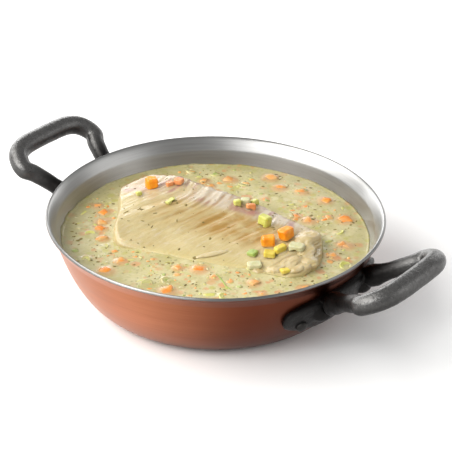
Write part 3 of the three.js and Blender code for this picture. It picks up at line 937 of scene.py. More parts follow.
# Each finish has its material's name, its roughness and the two colours that it lies between.
FINISHES: dict[str, Finish] = {
    "copper": BrushedMetal("brushed_copper", 0.34, (0.365, 0.135, 0.066), (0.47, 0.185, 0.092)),
    "steel": BrushedMetal("brushed_steel", 0.34, (0.285, 0.282, 0.275), (0.37, 0.37, 0.363), 0.000006,
                          shade_paint=(0.09, 0.088, 0.085)),
    "iron": CastIron("cast_iron", 0.35, (0.006, 0.005, 0.0045), (0.127, 0.125, 0.122)),
    "rivet": CastIron("rivet_iron", 0.5, (0.012, 0.011, 0.01), (0.03, 0.028, 0.026)),
    "flesh": Flesh("cod_flesh", 0.4, (0.475, 0.378, 0.175), (0.56, 0.468, 0.25)),
    "sauce": CreamSauce("cream_sauce", 0.32, (0.44, 0.385, 0.165), (0.605, 0.54, 0.295)),
    "carrot": CookedVegetable("carrot", 0.4, (0.84, 0.245, 0.003), (0.92, 0.36, 0.008)),
    "sunk_carrot": CookedVegetable("sunk_carrot", 0.42, (0.74, 0.18, 0.006), (0.86, 0.29, 0.016),
                                   (0.60, 0.44, 0.19)),
    "pale_carrot": CookedVegetable("pale_carrot", 0.42, (0.66, 0.22, 0.06), (0.76, 0.34, 0.13)),
    "leek": CookedVegetable("leek", 0.38, (0.46, 0.47, 0.055), (0.62, 0.61, 0.17), fibre=4.0),
    "heart": CookedVegetable("leek_heart", 0.28, (0.60, 0.455, 0.035), (0.74, 0.60, 0.12), fibre=4.0),
    "leaf": CookedVegetable("leek_leaf", 0.4, (0.22, 0.33, 0.045), (0.38, 0.47, 0.12), fibre=4.0),
    "onion": CookedVegetable("onion", 0.34, (0.49, 0.47, 0.24), (0.62, 0.60, 0.38)),
    "herb": PlainMottle("dried_herb", 0.9, (0.15, 0.115, 0.035), (0.29, 0.225, 0.075)),
    "floor": PlainMottle("floor", 0.85, (0.93, 0.93, 0.925), (0.95, 0.95, 0.945), 2.0, 60.0),
}
Palette = dict[str, Material]


def make_palette() -> Palette:
    """Builds every material of the scene once."""
    effects = Effects()
    return {name: finish.build(effects) for name, finish in FINISHES.items()}


# --- pan


@dataclass
class Pan:
    """The bonded sheet pan: copper outside, steel inside, with a flared lip."""

    rim_radius: float = 100.0
    height: float = 52.2
    sheet: float = 2.0
    base_radius: float = 65.0
    base_curve: float = 19.6
    wall_curve: float = 2.1
    wall_slope: float = math.radians(61)
    lip_root_radius: float = 95.7
    lip_root_drop: float = 7.7
    lip_slope: float = math.radians(30)
    lip_edge_drop: float = 1.73
    edge_bulge: float = 0.3
    turns: int = 288
    wall_steps: int = 40
    lip_steps: int = 10
    copper_side: Pair = (0.5, -0.87)
    copper_share: float = 0.3
    # Painted shade: copper darker towards the right handle and near the base, steel darker at its rim's edge.
    shade_paint: float = 0.93
    painted_shade_reach: Pair = (38.0, 88.0)
    low_painted_shade: float = 0.45
    low_reach: Pair = (1.0, 20.0)
    low_side: Pair = (70.0, 115.0)
    rim_painted_shade: float = 0.4
    rim_band: Pair = (97.9, 98.9)

    def wall_handles(self) -> Array:
        """The four control points of the outer wall's line, as radius and height.

        Returns:
            Four rows of radius and height.
        """
        foot = np.array([self.base_radius, 0.0])
        head = np.array([self.lip_root_radius, self.height - self.lip_root_drop])
        slope = np.array([math.cos(self.wall_slope), math.sin(self.wall_slope)])
        return np.array([foot, foot + [self.base_curve, 0], head - slope * self.wall_curve, head])

    def wall_line(self) -> tuple[Array, Array]:
        """Points along the outer wall's line, with their directions."""
        return bezier(self.wall_handles(), self.wall_steps)

    def lip_line(self) -> tuple[Array, Array]:
        """Points along the lip's outer line, with their directions.

        Returns:
            The points and the directions, as rows of radius and height.
        """
        start = self.wall_handles()[3]
        end = np.array([self.rim_radius - self.edge_bulge, self.height - self.lip_edge_drop])
        wall = np.array([math.cos(self.wall_slope), math.sin(self.wall_slope)])
        lip = np.array([math.cos(self.lip_slope), math.sin(self.lip_slope)])
        span = end - start
        reach = (span[0] * lip[1] - span[1] * lip[0]) / (wall[0] * lip[1] - wall[1] * lip[0])
        return bezier([start, start + wall * reach, end], self.lip_steps)

    def inset(self, line: tuple[Array, Array], distance: float) -> Array:
        """A line of the profile, moved towards the inside."""
        points, along = line
        return points + np.column_stack([-along[:, 1], along[:, 0]]) * distance

    def inner_radius(self, height: Array | float) -> Array:
        """The radius of the steel wall at a height."""
        line = self.inset(self.wall_line(), self.sheet)
        return np.interp(height, line[:, 1], line[:, 0])

    def off_wall(self, points: Array) -> Array:
        """How far points stand off the outer wall, level with it."""
        line, _ = self.wall_line()
        return np.hypot(points[:, 0], points[:, 1]) - np.interp(points[:, 2], line[:, 1], line[:, 0])

    def on_wall(self, angle: Array, height: Array, lift: Array) -> Array:
        """Points lifted off the outer wall along its normal.

        Args:
            angle: Angles about the pan's axis.
            height: Heights of the feet of the lifts.
            lift: Distances off the wall.

        Returns:
            Rows of three coordinates.
        """
        line, along = self.wall_line()
        radius = np.interp(height, line[:, 1], line[:, 0])
        rise = np.interp(height, line[:, 1], along[:, 1])
        run = np.interp(height, line[:, 1], along[:, 0])
        out = radius + lift * rise
        return np.column_stack([out * np.cos(angle), out * np.sin(angle), height - lift * run])

    def seat_at(self, angle: float, height: float) -> Array:
        """A place on the outer wall, the way out of the wall there and the way round the pan."""
        foot, head = self.on_wall(np.full(2, angle), np.full(2, height), np.arange(2))
        return np.array([foot, head - foot, [-math.sin(angle), math.cos(angle), 0]])

    def build(self, palette: Palette) -> Piece:
        """Spins the sheet, rounds its edge and dresses its two sides.

        Args:
            palette: The scene's materials.

        Returns:
            The finished shell.
        """
        wall, lip = self.wall_line(), self.lip_line()
        inner_lip = self.inset(lip, self.sheet)
        middle = (lip[0][-1] + inner_lip[-1]) / 2
        out = np.array([math.cos(self.lip_slope), math.sin(self.lip_slope)])
        edge = [
            middle + out * self.edge_bulge * math.cos(turn)
            + (inner_lip[-1] - lip[0][-1]) * 0.5 * math.sin(turn)
            for turn in np.linspace(-1.2, 1.2, 7)
        ]
        profile = np.concatenate([
            [[0, 0]], wall[0], lip[0][1:], edge, inner_lip[::-1],
            self.inset(wall, self.sheet)[::-1][1:], [[0, self.sheet]],
        ])
        pan = spun("pan", profile, self.turns)
        points = coordinates(pan)
        # Painted shade: the copper darkens towards the right handle and near the base, the steel at the rim's
        # edge.
        angle = np.degrees(np.abs(np.arctan2(points[:, 1], points[:, 0])))
        reach = 1 - smoothstep(angle, *self.painted_shade_reach)
        near_base = 1 - smoothstep(points[:, 2], *self.low_reach)
        near_base *= 1 - smoothstep(angle, *self.low_side)
        reach = np.maximum(reach, self.low_painted_shade * near_base + 0.6 * reach)
        rim = self.rim_painted_shade * smoothstep(np.hypot(points[:, 0], points[:, 1]), *self.rim_band)
        copper = self.faces_out(normals(pan), points)
        paint(pan, "tarnished", np.where(copper, self.shade_paint * reach, rim))
        settle(pan, "pan_shell", (palette["copper"], palette["steel"]), nodes=("pan_body",))
        self._dress_sides(pan)
        return pan

    def _dress_sides(self, pan: Piece) -> None:
        """Gives the outside the copper and the rest the steel."""
        faces = pan.data.polygons
        steel = ~self.faces_out(rows(faces, "normal"), rows(faces, "center"))
        faces.foreach_set("material_index", steel.astype(np.int32))

    def faces_out(self, normal: Array, place: Array) -> Array:
        """Which places of the shell face out and down, where the sheet is copper."""
        radius = np.maximum(np.hypot(place[:, 0], place[:, 1]), 1e-9)
        outward = (normal[:, :2] * place[:, :2]).sum(axis=1) / radius
        return outward * self.copper_side[0] + normal[:, 2] * self.copper_side[1] >= self.copper_share


# --- handles


@dataclass
class Handle:
    """One iron casting: a raised bow that flares into a leaf-shaped plate on two feet."""

    pan: Pan
    root_radius: float = 101.15
    root_height: float = 37.64
    rise: float = math.radians(29.5)
    reach: float = 40.3
    root_half_width: float = 20.2
    middle_half_width: float = 27.6
    end_half_width: float = 31.9
    corner_radius: float = 13.2
    outward_bow: float = 1.5
    root_thickness: float = 4.5
    end_thickness: float = 6.2
    buried: float = 6.0
    flare: float = 2.0
    flare_length: float = 10.0
    foot_angle: float = math.radians(12.3)
    foot_height: float = 29.8
    foot_lift: float = 2.6
    foot_half_size: Triple = (6.4, 7.4, 6.2)
    plate_half_angle: float = math.radians(27.6)
    plate_half_height: float = 11.8
    plate_height: float = 27.9
    plate_thickness: float = 4.4
    plate_edge: float = 2.4
    plate_roundness: float = 2.6
    plate_insets: tuple[float, ...] = (0.05, 0.15, 0.2, 0.2)
    seat: float = 1.0
    voxel: float = 0.62
    smoothing: int = 7
    rubbed_from: Pair = (4.0, 24.0)

    def bow_line(self) -> Array:
        """The bow's centre line, out along its slope.

        Returns:
            Rows of three coordinates, from one buried end to the other.
        """
        square = 1 - math.sqrt(0.5)
        corner = self.corner_radius
        half = [
            (-self.buried, self.root_half_width),
            (0.0, self.root_half_width),
            (self.reach / 2, self.middle_half_width),
            (self.reach - corner, self.end_half_width),
            (self.reach - corner * square, self.end_half_width - corner * square),
            (self.reach + self.outward_bow / 2, self.end_half_width - corner),
        ]
        whole = [(a, -b) for a, b in half] + [(self.reach + self.outward_bow, 0.0)] + half[::-1]
        points = np.array([
            (self.root_radius + a * math.cos(self.rise), b, self.root_height + a * math.sin(self.rise))
            for a, b in whole
        ])
        return catmull_rom(points, closed=False, even=True, per_span=10)

    def bow(self) -> Piece:
        """The bow, swept as a curve whose thickness changes along it."""
        line = self.bow_line()
        along = (line[:, 0] - self.root_radius) / math.cos(self.rise)
        share = np.clip(along / self.reach, 0, 1)
        flare = self.flare * np.clip(1 - along / self.flare_length, 0, 1) ** 2
        thickness = self.root_thickness + (self.end_thickness - self.root_thickness) * share + flare
        return swept("bow", line, thickness, 1.0, 8)

    def plate(self) -> Piece:
        """The leaf-shaped plate: a disc with inset rings, domed and laid on the wall."""
        bpy.ops.mesh.primitive_cylinder_add(vertices=96, radius=1, depth=2)
        obj = bpy.context.object
        inset_rings(obj, lambda face: face.normal.z > 0.9, [(width, 0.0) for width in self.plate_insets])
        flat = coordinates(obj)
        share = np.hypot(flat[:, 0], flat[:, 1])
        power = 2 / self.plate_roundness
        across = np.sign(flat[:, 0]) * np.abs(flat[:, 0] / share) ** power * share
        up = np.sign(flat[:, 1]) * np.abs(flat[:, 1] / share) ** power * share
        dome = np.sqrt(np.clip(1 - share**4, 0, 1))
        lift = self.plate_edge + (self.plate_thickness - self.plate_edge) * dome
        lift = np.where(flat[:, 2] > 0, lift, -self.seat)
        height = self.plate_height + self.plate_half_height * up
        set_coordinates(obj, self.pan.on_wall(self.plate_half_angle * across, height, lift))
        return obj

    def foot(self, angle: float) -> Piece:
        """The thick foot under one arm of the bow.

        Args:
            angle: Its angle about the pan's axis.

        Returns:
            The new mesh object.
        """
        bpy.ops.mesh.primitive_uv_sphere_add(segments=32, ring_count=16, radius=1)
        obj = bpy.context.object
        shape = coordinates(obj) * self.foot_half_size + [self.foot_lift, 0, 0]
        base, off, along = self.pan.seat_at(angle, self.foot_height)
        basis = np.array([off, along, np.cross(off, along)])
        set_coordinates(obj, shape @ basis + base)
        return obj

    def casting(self) -> Piece:
        """All of the casting as one smooth skin, with its uneven surface.

        Returns:
            The right handle's mesh object, with its wear and a painted highlight on its upper faces painted
            on it.
        """
        obj = join([self.bow(), self.plate(), self.foot(-self.foot_angle), self.foot(self.foot_angle)])
        tidy_shell(obj)
        soft_skin(obj, self.voxel, self.smoothing)
        points = coordinates(obj)
        off = self.pan.off_wall(points)
        inside = off < -self.seat
        push = (-self.seat - off[inside]) / np.hypot(points[inside, 0], points[inside, 1])
        points[inside, :2] *= 1 + push[:, None]
        set_coordinates(obj, points)
        relief = 0.22 * fractal(points, 9.0, 5) + 0.10 * fractal(points, 2.2, 9)
        relief *= smoothstep(off, 0.4, 1.6)
        normal = normals(obj)
        raise_skin(obj, points, relief)
        bar = smoothstep(points[:, 0] - self.root_radius, *self.rubbed_from)
        # Painted light: faces that look up get a painted highlight and faces that look down painted shade, on
        # top of the wear along the bar.
        upward = smoothstep(normal[:, 2], -0.6, 0.8)
        lobe = smoothstep(np.abs(points[:, 1]), 26.0, 42.0) * smoothstep(off, 1.5, 3.6)
        paint(obj, "rubbed", np.clip(bar * (0.1 + 0.9 * upward) + 0.12 * lobe + 0.01, 0, 1))
        return obj

    def build(self, palette: Palette) -> None:
        """Makes both handles, each with its own mesh."""
        right = self.casting()
        left = add_object("handle", right.data.copy())
        for obj, side in ((right, Side.RIGHT), (left, Side.LEFT)):
            node = f"handle_{side.name.lower()}"
            settle(obj, f"{node}_casting", (palette["iron"],), side.value, (node,))


@dataclass
class Rivets:
    """The four rivets: a hammered head outside and a shank through plate and wall."""

    pan: Pan
    angle: float = math.radians(20.5)
    height: float = 24.2
    head_radius: float = 3.6
    head_rise: float = 2.5
    head_rim: float = 0.4
    seat: float = 4.0
    shank_radius: float = 2.2
    recess: float = 0.15
    turns: int = 48

    def head(self, angle: float, seed: int) -> Piece:
        """One rivet, set off the wall.

        Args:
            angle: Its angle about the pan's axis.
            seed: Picks its dents.

        Returns:
            The new mesh object.
        """
        dome = [
            (self.head_radius * math.cos(turn) ** 0.8, self.seat + self.head_rise * math.sin(turn))
            for turn in np.linspace(0, math.pi / 2, 12)
        ]
        inner = self.recess - self.pan.sheet
        under = self.seat - self.head_rim
        profile = np.array([
            (0, inner), (self.shank_radius, inner), (self.shank_radius, under),
            (self.head_radius - 0.3, under), *dome[:-1], (0, dome[-1][1]),
        ])
        obj = spun("rivet", profile, self.turns)
        shape = coordinates(obj)
        head = smoothstep(shape[:, 2], self.seat - 0.2, self.seat + 0.6)
        dents = fractal(shape, 2.4, seed, 2) * 0.22 * head
        shape += shape * (dents / np.maximum(np.linalg.norm(shape, axis=1), 1))[:, None]
        base, off, along = self.pan.seat_at(angle, self.height)
        set_coordinates(obj, shape @ np.array([along, np.cross(off, along), off]) + base)
        paint(obj, "rubbed", 0.25 + 0.75 * head)
        return obj

    def build(self, palette: Palette) -> None:
        """Makes a rivet to each side of each handle's middle."""
        sides = (("lower", -self.angle), ("upper", self.angle))
        for side, (place, angle) in itertools.product(Side, sides):
            node = f"rivet_{side.name.lower()}_{place}"
            head = self.head(angle, len(node))
            settle(head, f"{node}_head", (palette["rivet"],), side.value, (node,))


# --- fillet


@dataclass
class Fillet:
    """The cod fillet: flakes that lean on each other, a membrane on its ridge, a broken tail.

    Pairs of two places along the fillet, in millimetres, say where something grows to its full
    strength. Tables of pairs give such a place, or a share of a flake, with a value there.
    """

    level: float = 36.0
    floor: float = 2.3
    axis: float = math.radians(-20)
    flakes: float = math.radians(40)
    flake_pitch: float = 9.6
    flake_step: float = 1.0
    tail_step: float = 1.9
    tail: Pair = (30.0, 60.0)
    flake_seed: int = 7
    step_spread: float = 0.5
    pitch_spread: float = 0.25
    flake_bend: float = 6.0
    bend_power: float = 1.4
    full_width: float = 75.0
    smooth_front: Pair = (0.08, 0.42)
    smooth_back: float = 0.93
    ridge_sweep: float = 8.0
    end_margin: float = 1.2
    edge_round: float = 0.045
    ring_margin: float = 0.35
    knot_margin: float = 0.3
    knot_count: int = 240
    undercut: float = 0.86
    middle_waist: float = 0.96
    ring_step: float = 0.7
    top_points: int = 128
    corners: tuple[Pair, ...] = (
        (-58.5, -15), (-38, -22.5), (-8, -33), (20, -42), (41, -49.5), (54.5, -44), (62, -28.5),
        (63, -12), (62, -2), (56, 5.5), (47, 13), (38, 21), (28, 29.5), (17, 35), (5, 40),
        (-6, 44.5), (-19, 52), (-32, 57.5), (-46.5, 57.5), (-56, 49), (-59.5, 34), (-58.5, 13),
    )
    crest_height: tuple[Pair, ...] = (
        (-86, 6), (-78, 12), (-62, 14.5), (-36, 14), (-18, 12.4), (-6, 10.2), (8, 9.4), (34, 8),
        (62, 6.4), (78, 4.8), (86, 2.4),
    )
    crest_place: tuple[Pair, ...] = (
        (-86, 0.6), (-60, 0.82), (-20, 0.8), (0, 0.72), (40, 0.66), (86, 0.5),
    )
    front_stand: tuple[Pair, ...] = (
        (-86, 0.75), (-40, 0.66), (-28, 0.3), (-14, 0.12), (70, 0.1), (86, 0.25),
    )
    step_line: tuple[Pair, ...] = (
        (0, -0.9), (0.08, -0.6), (0.3, 0.1), (0.8, 0.7), (0.95, 0.2), (1, -0.9),
    )
    ridge_skin: tuple[Pair, ...] = ((-70, 0.45), (-40, 0.53), (0, 0.6), (30, 0.68))
    thin_end_skin: tuple[Pair, ...] = ((-82, -0.15), (-62, 0.1), (-40, 0.35))
    deeper_steps: Pair = (-62, -20)
    middle_start: Pair = (-50, -30)
    middle_end: Pair = (24, 42)
    golden: Pair = (-25, 12)
    skin_start: Pair = (-74, -58)
    skin_end: Pair = (50, 62)
    smudge_end: Pair = (-58, -38)
    veil_end: Pair = (-60, -38)
    pale_end: Pair = (-80, -45)
    film_rise: Pair = (-30, 10)
    film_start: Pair = (-40, 0)
    shore: Array = field(init=False)

    def __post_init__(self) -> None:
        """Works out the waterline."""
        self.shore = catmull_rom(np.array(self.corners, float), closed=True, even=False, per_span=10)

    def directions(self) -> tuple[Array, Array]:
        """Unit vectors along the fillet and along its flakes."""
        return (
            np.array([math.cos(self.axis), math.sin(self.axis)]),
            np.array([math.cos(self.flakes), math.sin(self.flakes)]),
        )

    def skewed(self, points: Array) -> tuple[Array, Array]:
        """Flat places as a position along the fillet and a distance along the flake.

        Args:
            points: Rows of at least two coordinates.

        Returns:
            The positions along the fillet and the distances along the flake.
        """
        fillet, flake = self.directions()
        skew = fillet[0] * flake[1] - fillet[1] * flake[0]
        position = (points[:, 0] * flake[1] - points[:, 1] * flake[0]) / skew
        across = (fillet[0] * points[:, 1] - fillet[1] * points[:, 0]) / skew
        return position, across

    def chords(self, positions: Array) -> tuple[Array, Array]:
        """The front and the back of the waterline at positions along the fillet.

        Args:
            positions: Positions along the fillet.

        Returns:
            The distances along the flake of the front and of the back.
        """
        here, across = self.skewed(self.shore)
        after, beyond = np.roll(here, -1), np.roll(across, -1)
        front, back = np.full(len(positions), np.inf), np.full(len(positions), -np.inf)
        for k, position in enumerate(positions):
            cut = (here - position) * (after - position) <= 0
            cut &= here != after
            share = (position - here[cut]) / (after[cut] - here[cut])
            met = across[cut] + (beyond[cut] - across[cut]) * share
            front[k], back[k] = met.min(), met.max()
        return front, back

    def away(self, points: Array) -> Array:
        """Distances of flat places from the waterline, below zero on the fillet.

        Args:
            points: Rows of two coordinates in the serving frame.

        Returns:
            One distance for each.
        """
        shape = self.shore
        nearest = np.full(len(points), np.inf)
        inside = np.zeros(len(points), bool)
        for a, b in zip(shape, np.roll(shape, -1, axis=0)):
            edge = b - a
            share = np.clip(((points - a) @ edge) / (edge @ edge), 0, 1)
            nearest = np.minimum(nearest, np.linalg.norm(points - a - share[:, None] * edge, axis=1))
            crosses = (a[1] > points[:, 1]) != (b[1] > points[:, 1])
            if a[1] != b[1]:
                meet = a[0] + (points[:, 1] - a[1]) / (b[1] - a[1]) * edge[0]
                inside ^= crosses & (points[:, 0] < meet)
        return np.where(inside, -nearest, nearest)

    def flake_edges(self, first: float, last: float) -> tuple[Array, Array]:
        """Where the flakes begin, with each one's strength.

        Args:
            first: Where the first flake begins along the fillet.
            last: Where the last one ends.

        Returns:
            The beginnings and the end, and a strength for each.
        """
        draw = draws(self.flake_seed)
        count = round((last - first) / self.flake_pitch)
        pitch = (last - first) / count
        strengths, starts = [], []
        for k in range(count):
            strengths.append(1 + self.step_spread * (next(draw) - 0.5))
            shift = self.pitch_spread * (next(draw) - 0.5) if k else 0.0
            starts.append(first + pitch * (k + shift))
        return np.array(starts + [last]), np.array(strengths + [0.0])

    def bow(self, width: Array, place: Array) -> Array:
        """How far a flake's line bends along the fillet, by its width and the place across it."""
        bend = self.flake_bend * np.minimum(1, width / self.full_width)
        return bend * np.sin(np.pi * np.clip(place, 0, 1) ** self.bend_power)

    def rise(self, position: Array, place: Array) -> Array:
        """The height over the sauce, without the flakes' relief.

        Args:
            position: Positions along the fillet.
            place: Places between front (0) and back (1).

        Returns:
            One height in millimetres for each.
        """
        crest = along(position, self.crest_height)
        summit = along(position, self.crest_place)
        stand = along(position, self.front_stand)
        before = stand + (1 - stand) * np.sin(np.pi / 2 * np.minimum(place / summit, 1))
        beyond = np.sqrt(np.clip(1 - ((place - summit) / (1 - summit)) ** 2, 0, 1))
        edge = np.sqrt(np.clip(1 - np.clip(1 - place / self.edge_round, 0, 1) ** 2, 0, 1))
        return crest * np.where(place < summit, before, beyond) * edge

    def relief(self, position: Array, place: Array, points: Array,
               ends: Pair) -> dict[str, Array]:
        """The flakes' steps and fibres, with the masks that the finish reads.

        Args:
            position: Positions along the fillet.
            place: Places between front (0) and back (1).
            points: The surface points.
            ends: The first and the last position.

        Returns:
            The height of the relief in millimetres, and the masks gold, membrane, pale and film.
        """
        starts, strengths = self.flake_edges(*ends)
        swept = position + self.ridge_sweep * smoothstep(place, 0.5, 1.0) ** 1.5
        here = swept + 1.2 * fractal(points, 18.0, 31, 2) + 0.5 * fractal(points, 5.0, 37, 2)
        index = np.clip(np.searchsorted(starts, here) - 1, 0, len(starts) - 2)
        share = np.clip((here - starts[index]) / (starts[index + 1] - starts[index]), 0, 1)
        strength = strengths[index] * np.clip(0.7 + 1.1 * fractal(points, 16.0, 41, 2), 0, 1.5)
        step = along(share, self.step_line)
        groove = np.exp(-((np.minimum(share, 1 - share) / 0.12) ** 2)) * np.clip(strength, 0, 1)
        fade = smoothstep(place, *self.smooth_front) * (1 - smoothstep(place, self.smooth_back, 1))
        tail = smoothstep(position, *self.tail)
        size = self.flake_step + (self.tail_step - self.flake_step) * tail
        flake = self.directions()[1]
        lengthwise = points[:, 0] * flake[0] + points[:, 1] * flake[1]

        def strands(width: float, length: float, seed: int) -> Array:
            """Noise drawn out along the flakes."""
            return lattice_noise(np.column_stack([here / width, lengthwise / length, here * 0]), seed)

        broad, fine = strands(3.4, 24.0, 53), strands(1.25, 13.0, 59)
        crack = smoothstep(np.abs(fractal(points, 17.0, 61, 1)), 0.0, 0.45)
        lumps = 0.75 * crack - 0.5 + 0.25 * fractal(points, 6.0, 67, 1)
        deeper = 0.4 + 0.6 * smoothstep(position, *self.deeper_steps)
        height = (
            size * (0.28 + 0.3 * tail) * step * strength * fade * deeper
            + (0.34 * broad * fade + 0.17 * fine) * (0.45 + 0.55 * fade)
            + 0.3 * fractal(points, 12.0, 71)
            + 0.05 * fractal(points, 1.6, 77, 2)
            + tail * lumps * smoothstep(place, -0.06, 0.07)
        )
        middle = smoothstep(position, *self.middle_start) * (1 - smoothstep(position, *self.middle_end))
        onset = along(position, self.ridge_skin)
        upper = smoothstep(place, 0.22, 0.45) * (1 - smoothstep(place, onset, onset + 0.14)) * middle
        streak = smoothstep(strands(2.6, 30.0, 73), -0.1, 0.6)
        deep = smoothstep(position, *self.golden)
        # Gold is the flesh's golden tone; in the grooves between flakes it is partly painted shade.
        gold = np.clip(upper * (0.36 + 0.34 * deep + 0.5 * streak + 0.4 * groove), 0, 1)
        gold = np.maximum(gold, (0.3 + 0.35 * tail) * groove * fade * (1 - upper))
        gold = np.maximum(gold, tail * (0.14 + 0.26 * streak))
        membrane = smoothstep(place, onset, onset + 0.12)
        ridge = membrane * middle
        stripe = smoothstep(strands(2.3, 15.0, 79), -0.25, 0.4)
        membrane *= 0.15 + 0.85 * stripe
        membrane *= smoothstep(fractal(points, 15.0, 83), -0.9, -0.1)
        membrane *= smoothstep(position, *self.skin_start) * (1 - smoothstep(position, *self.skin_end))
        start = along(position, self.thin_end_skin)
        veil = smoothstep(place, start, start + 0.25)
        smudge = smoothstep(fractal(points, 11.0, 89), 0.05, 0.5)
        smudge *= 1 - smoothstep(position, *self.smudge_end)
        patch = (0.3 + 0.7 * smudge) * (1 - smoothstep(position, *self.veil_end)) * veil
        membrane = np.maximum(membrane, patch)
        # On the thin end the pale is partly its whitish membrane and partly a painted highlight on its lit
        # top-left.
        pale = 0.45 * (1 - smoothstep(position, *self.pale_end)) * veil + 0.1 * tail
        pale = np.maximum(pale, 0.72 * ridge * (1 - stripe))
        film_top = 1.8 + 2.6 * smoothstep(position, *self.film_rise)
        shallow = 1 - smoothstep(points[:, 2] - self.level, 0.3, film_top)
        film = shallow * (0.6 + 0.38 * smoothstep(position, *self.film_start))
        return {"height": height, "gold": gold, "membrane": membrane * (1 - gold), "pale": pale,
                "film": np.clip(film * (1 + 0.4 * fractal(points, 7.0, 97)), 0, 1)}

    def build(self, palette: Palette) -> Piece:
        """Lofts the fillet over its waterline and adds its flakes.

        Args:
            palette: The scene's materials.

        Returns:
            The finished piece.
        """
        here, _ = self.skewed(self.shore)
        ends = (here.min() + self.end_margin, here.max() - self.end_margin)
        rings = int((ends[1] - ends[0]) / self.ring_step)
        positions = np.linspace(here.min() + self.ring_margin, here.max() - self.ring_margin, rings)
        front, back = (side[:, None] for side in self.chords(positions))
        even = np.linspace(0, 1, self.top_points)
        top = 0.55 * (1 - np.cos(np.pi * even)) / 2 + 0.45 * even
        side = np.array([
            (0.0, self.level - 3, 0.99), (0.006, 20.0, self.middle_waist),
            (0.03, self.floor + 1.5, 0.88), (0.1, self.floor, self.undercut),
        ])
        other = side * [-1, 1, 1] + [1, 0, 0]
        below = np.concatenate([other, [(0.5, self.floor, self.undercut)], side[::-1]])
        place = np.concatenate([top, below[:, 0]])
        under = np.concatenate([0 * top, below[:, 1]])
        size = np.concatenate([0 * top + 1, below[:, 2]])
        position, place = np.meshgrid(positions, place, indexing="ij")
        across = front * (1 - place) + back * place
        bent = position + self.bow(back - front, place) * (under == 0)
        fillet, flake = self.directions()
        flat = (fillet * bent[..., None] + flake * across[..., None]) * size[:, None]
        height = np.where(under == 0, self.level + self.rise(position, place), under)
        obj = lattice("fillet", np.concatenate([flat, height[..., None]], axis=2))
        return self._finish(obj, ends, palette)

    def _finish(self, obj: Piece, ends: Pair, palette: Palette) -> Piece:
        """Adds the relief and the masks, and dresses the fillet.

        Args:
            obj: The lofted form.
            ends: The first and the last position of the flakes.
            palette: The scene's materials.

        Returns:
            The finished piece.
        """
        points = coordinates(obj)
        position, across = self.skewed(points)
        knots = np.linspace(position.min(), position.max(), self.knot_count)[1:-1]
        here, _ = self.skewed(self.shore)
        knots = knots[(knots > here.min() + self.knot_margin) & (knots < here.max() - self.knot_margin)]
        front, back = (np.interp(position, knots, side) for side in self.chords(knots))
        place = np.clip((across - front) / np.maximum(back - front, 1e-6), 0, 1)
        masks = self.relief(position - self.bow(back - front, place), place, points, ends)
        exposed = smoothstep(points[:, 2], self.level - 1.5, self.level + 1.0)
        raise_skin(obj, points, masks.pop("height") * exposed)
        for name, values in masks.items():
            paint(obj, name, values)
        return settle(obj, "cod_fillet_flesh", (palette["flesh"],), SERVING_TURN, ("cod_fillet",))


# --- sauce


@dataclass(frozen=True)
class SunkPiece:
    """A piece of vegetable in the sauce: its flat place, length, turn and how far it shows."""

    x: float
    y: float
    length: float
    turn: float
    showing: float
    tilt: float


